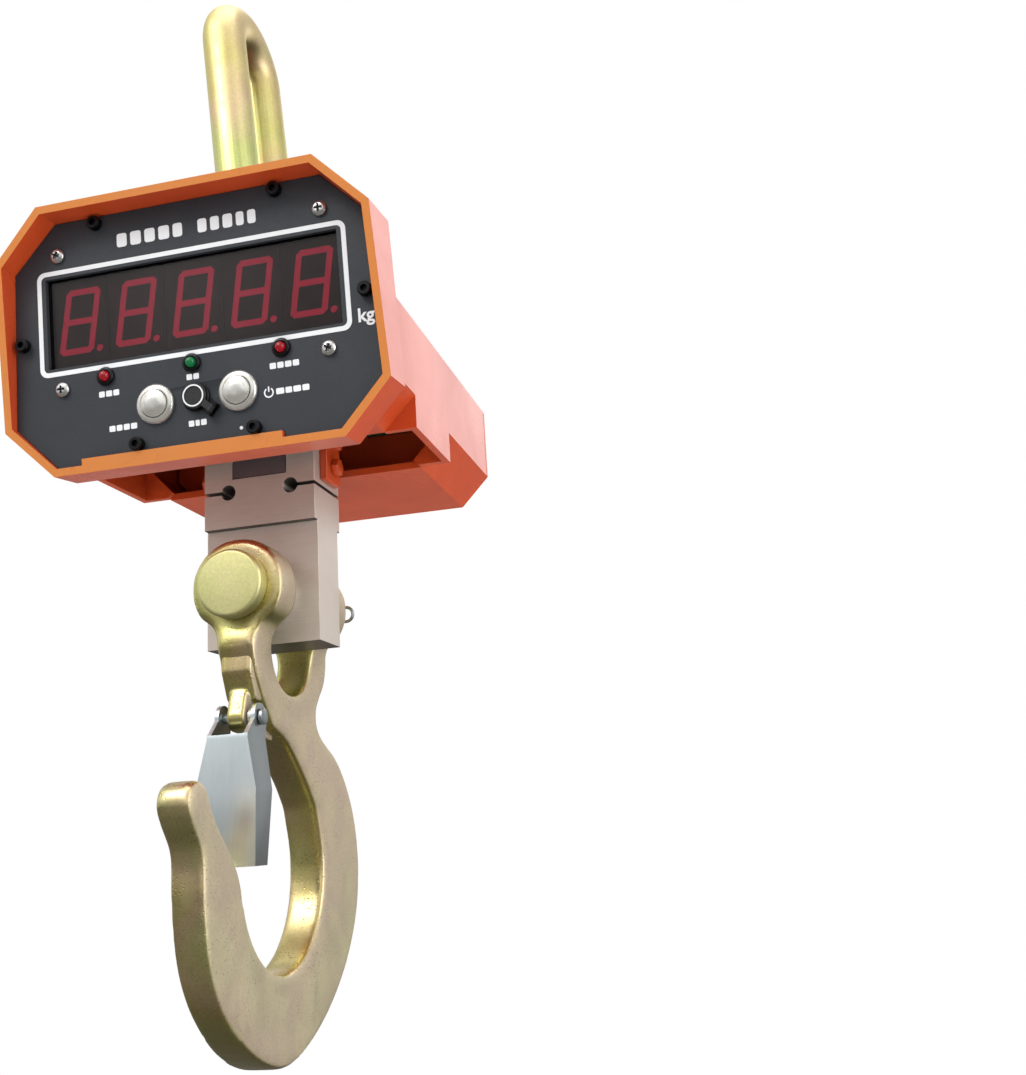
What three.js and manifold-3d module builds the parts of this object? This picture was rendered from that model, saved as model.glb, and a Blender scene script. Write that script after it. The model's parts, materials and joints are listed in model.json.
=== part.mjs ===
// Crane scale: a hanging electronic scale with a shackle above, a clevis hook below and a lit display in front.
// Millimetres, +Z up, the display faces -Y. The origin is the point of the shackle that rests on the crane's hook.
import * as THREE from "three";
import { mergeVertices } from "three/addons/utils/BufferGeometryUtils.js";
import Module from "manifold-3d";

const wasm = await Module();
wasm.setup();

// ---- Driving dimensions. Heights count from the shoulder between the load cell's body and its lower tongue. ----
const GAP = 0.3; // between pieces that touch
const CELL_HALF_WIDTH = 32.5;
const CELL_HALF_BODY = 18;
const CELL_HALF_LOWER = 14.4;
const CELL_HALF_UPPER = 11.5;
const CELL_SHOULDER = 81; // height of the upper shoulder
const CELL_TOP = 143;
const CELL_BOTTOM = -66.2;
const UPPER_PIN_Z = 121;
const LOWER_PIN_Z = -39.5;
const PIN_RADIUS = 12.6;
const PIN_BORE = 12.9;
const SLIT_HOLES = [20.5, 60.5]; // heights of the two pairs of flexure holes
const SLIT_HOLE_X = 18.3;

const SHACKLE_ROD = 12.8;
const SHACKLE_HALF_SPAN = 25;
const SHACKLE_INSIDE = 195; // pin axis to the bearing point
const SHACKLE_EYE_OUTER = 38.5;
const SHACKLE_LEAN = 0.09; // radians from the vertical, towards -X

const PANEL_TILT = 0.121;
const PANEL_CENTRE = [0, -97.5, 96.8];
const PANEL_THICK = 2.5;
const LIP_OUTLINE = [[75, 57.5], [101.5, 31], [103.5, -55], [78, -80.5]];
const LIP_WALL = 4;
const BEZEL_DEPTH = 18;
const HOOD_TOP = 14; // how far the lip stands in front of the panel at its top
const HOOD_BOTTOM = 2;
const WINDOW_HALF = [80, 24];

const BODY_OUTLINE = [[66, 150], [97, 99], [97, 55], [79, 36.5]]; // half section of the casing, x and z
const BODY_WALL = 4;
const BODY_REAR = 118;
const SKIRT_FRONT = -35;
const SKIRT_REAR = 29;

const HOOK_HALF = 11;
const EAR_RADIUS = 25.7;
const EAR_INNER = 26;
const EAR_OUTER = 47;
const LATCH_PIN = [-42, -107]; // y and z

// ---- Materials ----
const paint = (color, roughness, metalness) => new THREE.MeshStandardMaterial({ color, roughness, metalness });
const ORANGE = paint(0xd8481e, 0.35, 0.1);
const ZINC_GOLD = paint(0xb9ad66, 0.35, 0.9);
const ZINC_BRIGHT = paint(0xc4cbd0, 0.3, 0.9);
const NICKEL = paint(0xb5aaa0, 0.35, 0.9);
const PANEL_GREY = paint(0x3a3f47, 0.6, 0.1);
const STEEL_BLACK = paint(0x1b1c1e, 0.45, 0.6);
const STEEL_WHITE = paint(0xe6e6e2, 0.4, 0.4);
const STAINLESS = paint(0xd9d7cf, 0.25, 0.9);
const RED_LENS = paint(0xa01220, 0.2, 0);
const GREEN_LENS = paint(0x146a36, 0.2, 0);
const SMOKED = paint(0x2a1518, 0.15, 0);
const DIGIT_BLACK = paint(0x1c1618, 0.5, 0);
const BOARD_GREEN = paint(0x1f5a38, 0.6, 0);
const RUBBER = paint(0x151517, 0.8, 0);
const BATTERY = paint(0x2c3a58, 0.5, 0);

// ---- Solids: every helper gives a manifold ----
function solid(geometry) {
  const bare = geometry.index ? geometry.toNonIndexed() : geometry;
  bare.deleteAttribute("normal");
  bare.deleteAttribute("uv");
  const merged = mergeVertices(bare, 1e-4);
  const mesh = new wasm.Mesh({
    numProp: 3,
    vertProperties: new Float32Array(merged.attributes.position.array),
    triVerts: new Uint32Array(merged.index.array),
  });
  return new wasm.Manifold(mesh);
}

function geometryOf(manifold) {
  const mesh = manifold.getMesh();
  const position = new THREE.BufferAttribute(new Float32Array(mesh.vertProperties), 3);
  const geometry = new THREE.BufferGeometry().setAttribute("position", position);
  geometry.setIndex(new THREE.BufferAttribute(new Uint32Array(mesh.triVerts), 1));
  return geometry;
}

const union = (...list) => list.reduce((a, b) => a.add(b));
const cut = (body, ...tools) => tools.reduce((a, b) => a.subtract(b), body);

function box(x0, x1, y0, y1, z0, z1) {
  const geometry = new THREE.BoxGeometry(x1 - x0, y1 - y0, z1 - z0);
  return solid(geometry.translate((x0 + x1) / 2, (y0 + y1) / 2, (z0 + z1) / 2));
}

// The three extrusion planes: an outline in (x, z) along Y, in (y, z) along X, and in (x, y) along Z.
const ALONG_Y = new THREE.Matrix4().makeBasis(
  new THREE.Vector3(1, 0, 0), new THREE.Vector3(0, 0, 1), new THREE.Vector3(0, -1, 0));
const ALONG_X = new THREE.Matrix4().makeBasis(
  new THREE.Vector3(0, 1, 0), new THREE.Vector3(0, 0, 1), new THREE.Vector3(1, 0, 0));

function shapeOf(points, holes = []) {
  const shape = new THREE.Shape(points.map(([a, b]) => new THREE.Vector2(a, b)));
  for (const hole of holes) shape.holes.push(new THREE.Path(hole.map(([a, b]) => new THREE.Vector2(a, b))));
  return shape;
}

function extrude(shape, depth, { bevel = 0, curveSegments = 10 } = {}) {
  return new THREE.ExtrudeGeometry(shape, {
    depth: depth - 2 * bevel,
    curveSegments,
    bevelEnabled: bevel > 0,
    bevelThickness: bevel,
    bevelSize: bevel,
    bevelOffset: -bevel,
    bevelSegments: 2,
  }).translate(0, 0, bevel);
}

const alongY = (shape, y0, y1, options) =>
  solid(extrude(shape, y1 - y0, options).applyMatrix4(ALONG_Y).translate(0, y1, 0));
const alongX = (shape, x0, x1, options) =>
  solid(extrude(shape, x1 - x0, options).applyMatrix4(ALONG_X).translate(x0, 0, 0));
const alongZ = (shape, z0, z1, options) => solid(extrude(shape, z1 - z0, options).translate(0, 0, z0));

// A round solid: profile is a list of [radius, height] pairs, from the axis back to the axis, turned about Z.
function turned(profile, segments = 24) {
  const lathe = new THREE.LatheGeometry(profile.map(([r, h]) => new THREE.Vector2(r, h)), segments);
  return solid(lathe.rotateX(Math.PI / 2));
}

const rod = (r, z0, z1, segments = 24) => turned([[0, z0], [r, z0], [r, z1], [0, z1]], segments);
const tube = (r0, r1, z0, z1, segments = 24) =>
  turned([[r0, z0], [r1, z0], [r1, z1], [r0, z1], [r0, z0]], segments);
const aboutY = (manifold, x, z) => manifold.rotate([90, 0, 0]).translate([x, 0, z]);
const aboutX = (manifold, y, z) => manifold.rotate([0, 90, 0]).translate([0, y, z]);
const rodY = (r, y0, y1, x, z, segments) => aboutY(rod(r, -y1, -y0, segments), x, z);
const rodX = (r, x0, x1, y, z, segments) => aboutX(rod(r, x0, x1, segments), y, z);

const mirrored = (half) => [...half, ...half.map(([a, b]) => [-a, b]).reverse()];

// Offsets a convex outline inwards by moving each edge along its normal.
function inset(outline, distance) {
  const points = outline.map(([a, b]) => new THREE.Vector2(a, b));
  const count = points.length;
  const turn = Math.sign(points.reduce((sum, p, i) => sum + p.cross(points[(i + 1) % count]), 0));
  return points.map((point, i) => {
    const before = point.clone().sub(points[(i + count - 1) % count]).normalize();
    const after = points[(i + 1) % count].clone().sub(point).normalize();
    const across = (d) => new THREE.Vector2(-d.y * turn, d.x * turn);
    const bisector = across(before).add(across(after)).normalize();
    const moved = point.clone().addScaledVector(bisector, distance / bisector.dot(across(after)));
    return [moved.x, moved.y];
  });
}

// ---- The scene graph ----
const scale = new THREE.Group();
const panelFrame = new THREE.Group(); // x across the panel, y up it, z out of it
panelFrame.position.set(...PANEL_CENTRE);
panelFrame.rotation.x = Math.PI / 2 + PANEL_TILT;
panelFrame.updateMatrix();
scale.add(panelFrame);

function place(name, manifold, material, group = scale) {
  const mesh = new THREE.Mesh(geometryOf(manifold), material.clone());
  mesh.name = name;
  group.add(mesh);
  return mesh;
}

const inPanel = (manifold) => manifold.transform(panelFrame.matrix.elements);

// ---- Load cell ----
function loadCell() {
  const body = box(-CELL_HALF_WIDTH, CELL_HALF_WIDTH, -CELL_HALF_BODY, CELL_HALF_BODY, 0, CELL_SHOULDER);
  const lower = box(-CELL_HALF_WIDTH, CELL_HALF_WIDTH, -CELL_HALF_LOWER, CELL_HALF_LOWER, CELL_BOTTOM, 1);
  const upperShape = new THREE.Shape();
  const corner = 16;
  upperShape.moveTo(-CELL_HALF_WIDTH, CELL_SHOULDER - 1);
  upperShape.lineTo(CELL_HALF_WIDTH, CELL_SHOULDER - 1);
  upperShape.absarc(CELL_HALF_WIDTH - corner, CELL_TOP - corner, corner, 0, Math.PI / 2);
  upperShape.absarc(corner - CELL_HALF_WIDTH, CELL_TOP - corner, corner, Math.PI / 2, Math.PI);
  const upper = alongY(upperShape, -CELL_HALF_UPPER, CELL_HALF_UPPER, { curveSegments: 5 });
  const tools = [
    rodY(PIN_BORE, -30, 30, 0, UPPER_PIN_Z),
    rodY(PIN_BORE, -30, 30, 0, LOWER_PIN_Z),
  ];
  for (const z of SLIT_HOLES)
    for (const side of [-1, 1]) {
      tools.push(rodY(4.2, -30, 30, side * SLIT_HOLE_X, z, 16));
      const ends = [side * SLIT_HOLE_X, side * (CELL_HALF_WIDTH + 1)].sort((a, b) => a - b);
      tools.push(box(...ends, -30, 30, z - 0.8, z + 0.8));
    }
  for (const side of [-1, 1]) {
    const faces = [side * (CELL_HALF_BODY - 4), side * (CELL_HALF_BODY + 1)].sort((a, b) => a - b);
    tools.push(box(-16, 16, ...faces, 28, 53));
  }
  for (const side of [-1, 1])
    for (const z of [33, 48]) tools.push(rodX(2.6, side > 0 ? 22 : -40, side > 0 ? 40 : -22, 0, z, 12));
  tools.push(rodX(2.2, 15, 40, -14.5, 68, 10)); // cable hole
  place("load_cell", cut(union(body, lower, upper), ...tools), NICKEL);
  for (const [name, side] of [["gauge_cover_front", -1], ["gauge_cover_rear", 1]]) {
    const faces = [side * (CELL_HALF_BODY - 2), side * (CELL_HALF_BODY - 0.2)].sort((a, b) => a - b);
    place(name, box(-15.6, 15.6, ...faces, 28.4, 52.6), STAINLESS);
  }
}

// ---- Pins ----
// A pin along Y with a head in front and a cross hole for its split pin at the back.
function clevisPin(name, z, headFront, headBack, tip, crossY) {
  const head = aboutY(turned([[0, -headBack], [17.8, -headBack], [17.8, -headFront - 2],
    [15.8, -headFront], [0, -headFront]], 32), 0, z);
  const shaft = rodY(PIN_RADIUS, headBack - 1, tip, 0, z);
  const cross = rodX(2.4, -20, 20, crossY, z, 10);
  place(name, cut(union(head, shaft), cross), ZINC_GOLD);
}

// A split pin through a clevis pin: a round eye on top of one leg pair.
function splitPin(name, y, z) {
  const leg = rodX(2, -19, 17, 0, 0, 10);
  const eye = solid(new THREE.TorusGeometry(4.5, 1.6, 6, 14)).translate([20, 0, 0]);
  place(name, union(leg, eye).translate([0, y, z]), ZINC_BRIGHT);
}

const washer = (name, inner, outer, y0, y1, z, material) =>
  place(name, aboutY(tube(inner, outer, -y1, -y0), 0, z), material);

// ---- Shackle ----
function shackle() {
  const rise = SHACKLE_INSIDE - SHACKLE_HALF_SPAN + SHACKLE_ROD; // pin axis to the centre of the bow
  const left = -SHACKLE_HALF_SPAN;
  const right = SHACKLE_HALF_SPAN;
  const legs = [left, right].map((y) => rod(SHACKLE_ROD, 14, rise, 20).translate([0, y, 0]));
  const half = solid(new THREE.TorusGeometry(right, SHACKLE_ROD, 20, 40).rotateY(Math.PI / 2));
  const arch = half.translate([0, 0, rise]).subtract(box(-40, 40, -60, 60, rise - 60, rise));
  const eyes = [[-SHACKLE_EYE_OUTER, -12.2], [12.2, SHACKLE_EYE_OUTER]].map(([y0, y1]) => rodY(23, y0, y1, 0, 0, 28));
  const bore = rodY(PIN_BORE, -60, 60, 0, 0);
  const body = cut(union(...legs, arch, ...eyes), bore, box(-30, 30, -11.9, 11.9, -30, 40));
  const lean = body.rotate([0, (-SHACKLE_LEAN * 180) / Math.PI, 0]);
  place("shackle", lean.translate([0, 0, UPPER_PIN_Z]), ZINC_GOLD);
}

// ---- Casing ----
const lipOffset = (b) => HOOD_BOTTOM + ((b + 79) * (HOOD_TOP - HOOD_BOTTOM)) / 136;

function frontBezel() {
  const outer = mirrored(LIP_OUTLINE);
  const ring = alongZ(shapeOf(outer), -BEZEL_DEPTH, 30);
  const hood = alongZ(shapeOf(inset(outer, LIP_WALL)), -PANEL_THICK - 1, 31);
  const throat = alongZ(shapeOf(inset(outer, 11)), -BEZEL_DEPTH - 1, 0);
  const lipTilt = Math.atan((HOOD_TOP - HOOD_BOTTOM) / 136);
  const front = box(-150, 150, -150, 150, 0, 60)
    .rotate([(lipTilt * 180) / Math.PI, 0, 0])
    .translate([0, 0, lipOffset(0)]);
  const sill = box(-62, 46, -79.5, -73.2, -PANEL_THICK - 1, 30);
  const screwHoles = [];
  for (const [a, b] of [[49.6, 49.2], [93.1, -9.5], [31.5, -69.5]])
    for (const side of [-1, 1]) screwHoles.push(rod(2.2, -12, 5, 10).translate([side * a, b, 0]));
  const bosses = screwHoles.map((_, i) => {
    const [a, b] = [[49.6, 49.2], [93.1, -9.5], [31.5, -69.5]][i >> 1];
    return rod(5, -BEZEL_DEPTH + 4, -PANEL_THICK - 1, 12).translate([(i % 2 ? 1 : -1) * a, b, 0]);
  });
  const body = union(cut(ring, hood, throat), sill, ...bosses);
  place("front_bezel", cut(body, front, ...screwHoles), ORANGE, panelFrame);
}

function casing() {
  const outer = mirrored(BODY_OUTLINE);
  const inner = inset(outer, BODY_WALL);
  const shell = cut(alongY(shapeOf(outer), -130, BODY_REAR), alongY(shapeOf(inner), -140, BODY_REAR + 5));
  const bottomCut = box(-120, 120, SKIRT_FRONT, SKIRT_REAR, 20, 56);
  const skirts = [-1, 1].map((side) => {
    const xs = [side * 93, side * 97].sort((a, b) => a - b);
    return box(...xs, SKIRT_FRONT, SKIRT_REAR, 37, 60);
  });
  const gussets = [];
  for (const side of [-1, 1])
    for (const y of [SKIRT_FRONT, SKIRT_REAR - 4]) {
      const corner = [[97, 55.5], [97, 37], [79, 37], [76, 40], [92, 57]].map(([x, z]) => [side * x, z]);
      gussets.push(alongY(shapeOf(side > 0 ? corner : corner.reverse()), y, y + 4));
    }
  const slot = box(-24, 24, -44, 44, 120, 170);
  const front = inPanel(box(-200, 200, -200, 200, -BEZEL_DEPTH - GAP, 80));
  const body = union(cut(shell, bottomCut, slot), ...skirts, ...gussets);
  place("casing", body.subtract(front), ORANGE);
  const cover = alongY(shapeOf(outer), BODY_REAR + GAP, BODY_REAR + 4, { bevel: 0 });
  const lip = alongY(shapeOf(inset(outer, BODY_WALL + GAP)), BODY_REAR - 6, BODY_REAR + 1);
  const lipHollow = alongY(shapeOf(inset(outer, BODY_WALL + 3)), BODY_REAR - 7, BODY_REAR + GAP);
  place("rear_cover", union(cover, cut(lip, lipHollow)), ORANGE);
  const seal = cut(
    alongZ(shapeOf([[-29, -49], [29, -49], [29, 49], [-29, 49]]), 150 + GAP, 153),
    alongZ(shapeOf([[-23, -43], [23, -43], [23, 43], [-23, 43]]), 149, 154),
  );
  place("slot_trim", seal, RUBBER);
}

// ---- Fasteners in the panel's frame ----
function capScrew(name, a, b, group) {
  const head = turned([[0, 0.2], [3.6, 0.2], [3.6, 3.7], [3, 4.1], [0, 4.1]], 16).translate([a, b, 0]);
  const shank = rod(1.9, -10, 0.3, 10).translate([a, b, 0]);
  const socket = rod(1.8, 2, 6, 6).translate([a, b, 0]);
  place(name, cut(union(head, shank), socket), STEEL_BLACK, group);
}

function panScrew(name, a, b, group) {
  const head = turned([[0, 0.2], [4, 0.2], [3.8, 1.3], [2.6, 2.3], [0, 2.7]], 16).translate([a, b, 0]);
  const shank = rod(1.6, -12, 0.3, 10).translate([a, b, 0]);
  const slots = [box(-2, 2, -0.45, 0.45, 1.6, 4), box(-0.45, 0.45, -2, 2, 1.6, 4)];
  place(name, cut(union(head, shank), ...slots.map((s) => s.translate([a, b, 0]))), STEEL_WHITE, group);
}

const PANEL_SCREWS = [[49.6, 49.2], [93.1, -9.5], [31.5, -69.5]];
const DISPLAY_SCREWS = [[72.2, 35.6], [72.2, -35.6]];
const LEDS = [[-47.8, -32, "left"], [-0.3, -32, "centre"], [47.6, -31.5, "right"]];
const BUTTONS = [[-21, -50.3, "recall_button"], [23.6, -49.8, "power_button"]];
const JACK = [1, -49.7];
const JACK_TURN = -39.8; // degrees from the panel's x axis to the arm of the jack's cap
const CAP_ARM = 11.7;
const CAP_HINGE_RISE = 2.7;

function frontPanel() {
  const outline = inset(mirrored(LIP_OUTLINE), LIP_WALL + GAP);
  const plate = alongZ(shapeOf(outline), -PANEL_THICK, 0);
  const [w, h] = WINDOW_HALF;
  const tools = [box(-w, w, -h, h, -5, 5)];
  for (const side of [-1, 1]) {
    for (const [a, b] of PANEL_SCREWS) tools.push(rod(2.2, -5, 5, 10).translate([side * a, b, 0]));
    for (const [a, b] of DISPLAY_SCREWS) tools.push(rod(1.9, -5, 5, 10).translate([side * a, b, 0]));
  }
  for (const [a, b] of LEDS) tools.push(rod(4.1, -5, 5, 14).translate([a, b, 0]));
  for (const [a, b] of BUTTONS) tools.push(rod(8.3, -5, 5, 20).translate([a, b, 0]));
  tools.push(rod(6.2, -5, 5, 16).translate([...JACK, 0]));
  const sillNotch = box(-62.5, 46.5, -90, -72.9, -5, 5);
  place("front_panel", cut(plate, ...tools, sillNotch), PANEL_GREY, panelFrame);
  const names = ["top", "side", "bottom"];
  PANEL_SCREWS.forEach(([a, b], i) => {
    capScrew(`panel_screw_${names[i]}_left`, -a, b, panelFrame);
    capScrew(`panel_screw_${names[i]}_right`, a, b, panelFrame);
  });
}

function display() {
  const [w, h] = WINDOW_HALF;
  const boardTop = -14;
  const pane = box(-w - 3, w + 3, -h - 3, h + 3, -PANEL_THICK - 2.3, -PANEL_THICK - GAP);
  place("display_window", pane, SMOKED, panelFrame);
  for (let i = 0; i < 5; i++) {
    const a = -63.8 + 31.9 * i;
    place(`digit_${i + 1}`, box(a - 15.7, a + 15.7, -22, 24, boardTop + GAP, -5.6), DIGIT_BLACK, panelFrame);
  }
  const holes = [];
  for (const side of [-1, 1])
    for (const [a, b] of DISPLAY_SCREWS) holes.push(rod(1.9, -20, 0, 10).translate([side * a, b, 0]));
  const board = box(-78, 78, -38, 38, boardTop - 1.6, boardTop);
  const clear = BUTTONS.map(([a, b]) => rod(12, -20, 0, 16).translate([a, b, 0]));
  place("display_board", cut(board, ...holes, ...clear), BOARD_GREEN, panelFrame);
  const spots = ["top", "bottom"];
  DISPLAY_SCREWS.forEach(([a, b], i) => {
    panScrew(`display_screw_${spots[i]}_left`, -a, b, panelFrame);
    panScrew(`display_screw_${spots[i]}_right`, a, b, panelFrame);
  });
}

function controls() {
  for (const [a, b, side] of LEDS) {
    const holder = turned([[2.9, -6], [3.8, -6], [3.8, GAP], [4.8, GAP], [4.8, 1], [4.2, 1.8], [2.9, 1.8], [2.9, -6]], 20);
    place(`led_holder_${side}`, holder.translate([a, b, 0]), STEEL_BLACK, panelFrame);
    const lens = turned([[0, -9], [2.6, -9], [2.6, 2.2], [2, 3.7], [0, 4.4]], 16);
    const colour = side === "centre" ? GREEN_LENS : RED_LENS;
    place(`led_${side}`, lens.translate([a, b, 0]), colour, panelFrame);
  }
  for (const [a, b, name] of BUTTONS) {
    const body = turned([[7.3, -16], [8, -16], [8, GAP], [10.2, GAP], [10.2, 1.2], [8.8, 2.4], [7.3, 2.4], [7.3, -16]], 28);
    place(`${name}_body`, body.translate([a, b, 0]), STAINLESS, panelFrame);
    const cap = turned([[0, -8], [7, -8], [7, 2.6], [6.2, 3.9], [3.5, 4.5], [0, 4.6]], 24);
    place(`${name}_cap`, cap.translate([a, b, 0]), STAINLESS, panelFrame);
  }
  const [a, b] = JACK;
  const jack = turned([[3.2, -13], [5.9, -13], [5.9, GAP], [7.3, GAP], [7.3, 1.6], [3.2, 1.6], [3.2, -13]], 20);
  const hingeBase = box(6, 13.6, -3.6, 3.6, GAP, 1);
  const lugs = [-1, 1].map((side) => box(10, 13.6, side * 3 - 0.6, side * 3 + 0.6, GAP, 4.2));
  const seat = union(hingeBase, ...lugs).rotate([0, 0, JACK_TURN]);
  place("charge_jack", union(jack, seat).translate([a, b, 0]), STEEL_BLACK, panelFrame);
  const plug = turned([[0, 0.4], [2.8, 0.4], [2.8, 2.2], [6.6, 2.2], [6.6, 3.6], [0, 3.6]], 20);
  const arm = box(0, CAP_ARM, -1.8, 1.8, 2.2, 3.4);
  const barrel = rodX(1.4, -2.1, 2.1, 0, 0, 10).rotate([0, 0, 90]).translate([CAP_ARM, 0, CAP_HINGE_RISE]);
  const flap = union(plug, arm, barrel).rotate([0, 0, JACK_TURN]);
  place("jack_cap", flap.translate([a, b, 0]), RUBBER, panelFrame);
}

// Corner points of a regular polygon.
function ring(radius, count) {
  return Array.from({ length: count }, (_, i) => {
    const turn = (2 * Math.PI * i) / count;
    return [radius * Math.cos(turn), radius * Math.sin(turn)];
  });
}

// ---- Inside the casing ----
function insides() {
  const route = new THREE.CatmullRomCurve3([[33.2, -14.5, 68], [40, -14.5, 69], [46, -14.5, 78],
    [50, 0, 87], [52, 28, 96], [52, 48, 100], [52, 56.4, 100]].map((p) => new THREE.Vector3(...p)));
  const section = shapeOf(ring(2.1, 8));
  const cable = new THREE.ExtrudeGeometry(section, { steps: 18, extrudePath: route });
  place("cell_cable", solid(cable), RUBBER);
  place("main_board", box(-70, 70, 57, 58.6, 70, 130), BOARD_GREEN);
  place("battery", box(-54, 54, 65, 110.5, 50, 112), BATTERY);
  const strap = cut(box(-9, 9, 63.2, 112.3, 45, 114), box(-10, 10, 64.6, 110.9, 46.4, 112.6));
  place("battery_strap", strap, STAINLESS);
  for (const [name, side] of [["cell_bracket_left", -1], ["cell_bracket_right", 1]]) {
    const near = side * (CELL_HALF_WIDTH + GAP);
    const plate = box(...[near, near + side * 4].sort((p, q) => p - q), -10, 10, 24, 76);
    const web = box(...[near, side * (97 - BODY_WALL - GAP)].sort((p, q) => p - q), -10, 10, 70, 76);
    const foot = box(...[side * 88.7, side * 92.7].sort((p, q) => p - q), -10, 10, 60, 76);
    const holes = [33, 48].map((z) => rodX(2.8, Math.min(near, near + side * 6) - 1,
      Math.max(near, near + side * 6) + 1, 0, z, 12));
    place(name, cut(union(plate, web, foot), ...holes), STAINLESS);
    [33, 48].forEach((z, i) => {
      const inner = side * (CELL_HALF_WIDTH - 8);
      const face = near + side * (4 + GAP);
      const shank = rodX(2.4, Math.min(inner, face), Math.max(inner, face), 0, z, 12);
      const head = alongX(shapeOf(ring(5, 6).map(([p, q]) => [p, q + z])),
        Math.min(face, face + side * 4), Math.max(face, face + side * 4));
      place(`bracket_bolt_${side < 0 ? "left" : "right"}_${i + 1}`, union(shank, head), STEEL_BLACK);
    });
  }
}

// ---- Hook ----
// Points along a smooth curve through the given ones, and along an arc in radians.
function through(points, steps) {
  const curve = new THREE.SplineCurve(points.map(([a, b]) => new THREE.Vector2(a, b)));
  return curve.getPoints(steps).map((p) => [p.x, p.y]);
}

function arc(a, b, radius, from, to, steps) {
  return Array.from({ length: steps + 1 }, (_, i) => {
    const turn = from + ((to - from) * i) / steps;
    return [a + radius * Math.cos(turn), b + radius * Math.sin(turn)];
  });
}

// The side view of the hook, y and z: down the back, round the bowl to the tip, and up the throat to the fork.
function hookOutline() {
  const back = [[45, -50], [46.6, -59], [49.5, -70], [46.5, -82], [38, -92], [33, -101], [39, -111], [64, -124],
    [82, -143], [92, -165], [94, -190], [87, -215], [69, -239], [42, -259], [12, -272], [-14, -276],
    [-38, -270], [-62, -257], [-81, -240], [-93, -219], [-98, -193], [-99, -173], [-107, -161]];
  const front = [[-44, -86], [-48.5, -74], [-49, -67], [-46.6, -59], [-45, -50]];
  return shapeOf([
    ...through(back, 60),
    ...arc(-102, -150, 10.5, Math.PI * 1.1, Math.PI * 0.05, 9),
    ...through([[-85, -158], [-73, -170], [-64, -180]], 5),
    ...arc(-11, -183, 49.5, Math.PI * 1.03, Math.PI * 2.09, 26),
    ...through([[30, -151], [19, -139], [4, -126], [-9, -117], [-24, -112]], 8),
    [-36, -98],
    ...through(front, 7),
    [-EAR_INNER, -50],
    ...arc(0, -66, EAR_INNER, Math.PI, 2 * Math.PI, 14),
    [EAR_INNER, -50],
  ]);
}

function clevisHook() {
  const body = alongX(hookOutline(), -HOOK_HALF, HOOK_HALF, { bevel: 2 });
  const earShape = new THREE.Shape();
  earShape.moveTo(10.8, -72);
  earShape.quadraticCurveTo(13, -62, 20, -55.6);
  earShape.absarc(0, LOWER_PIN_Z, EAR_RADIUS, -Math.PI * 0.215, Math.PI * 1.215, false);
  earShape.quadraticCurveTo(-13, -62, -10.8, -72);
  const ears = [[-EAR_OUTER, -EAR_INNER], [EAR_INNER, EAR_OUTER]].map(([y0, y1]) =>
    alongY(earShape, y0, y1, { bevel: 2.5, curveSegments: 16 }));
  const [py, pz] = LATCH_PIN;
  const nubShape = new THREE.Shape();
  nubShape.moveTo(-14, -118);
  nubShape.lineTo(py + 1, pz - 7);
  nubShape.absarc(py, pz, 7, -Math.PI / 2, -Math.PI * 1.15, true);
  nubShape.lineTo(-40, -90);
  nubShape.lineTo(-14, -96);
  const nub = alongX(nubShape, -5, 5, { curveSegments: 6 });
  const bores = [rodY(PIN_BORE, -60, 60, 0, LOWER_PIN_Z), rodX(3.2, -20, 20, py, pz, 12)];
  place("hook", cut(union(body, ...ears, nub), ...bores), ZINC_GOLD);
}

function latch() {
  const [py, pz] = LATCH_PIN;
  const wall = 2.2;
  const side = new THREE.Shape();
  side.moveTo(-57, -116);
  side.lineTo(-59.5, -146);
  side.lineTo(-60.5, -179);
  side.lineTo(-47, -179);
  side.lineTo(-41, -146);
  side.lineTo(-35.5, -112);
  side.absarc(py, pz, 7, -0.3, Math.PI * 1.05, false);
  const width = [[10.8, -96], [10.8, -118], [16, -143], [16, -179.5], [-16, -179.5], [-16, -143], [-10.8, -118], [-10.8, -96]];
  const inner = [[10.8 - wall, -90], [10.8 - wall, -118], [16 - wall, -143.5], [16 - wall, -185],
    [wall - 16, -185], [wall - 16, -143.5], [wall - 10.8, -118], [wall - 10.8, -90]];
  const block = alongX(side, -16, 16, { curveSegments: 8 }).intersect(alongY(shapeOf(width), -80, -20));
  const behind = [[-57 + wall, -116], [-59.5 + wall, -146], [-60.5 + wall, -190], [0, -190], [0, -80], [-80, -80], [-80, -116]];
  const hollow = alongX(shapeOf(behind), -16, 16).intersect(alongY(shapeOf(inner), -90, 5));
  const bore = rodX(3.2, -20, 20, py, pz, 12);
  place("latch", cut(block, hollow, bore), ZINC_BRIGHT);
  const pin = union(rodX(2.9, -12.4, 12.4, py, pz, 12), rodX(4.2, 11.1, 13.2, py, pz, 12));
  place("latch_pin", pin, ZINC_BRIGHT);
  place("latch_spring", aboutX(tube(3.4, 4.9, 5.4, 8.2, 14), py, pz), STAINLESS);
}

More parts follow.
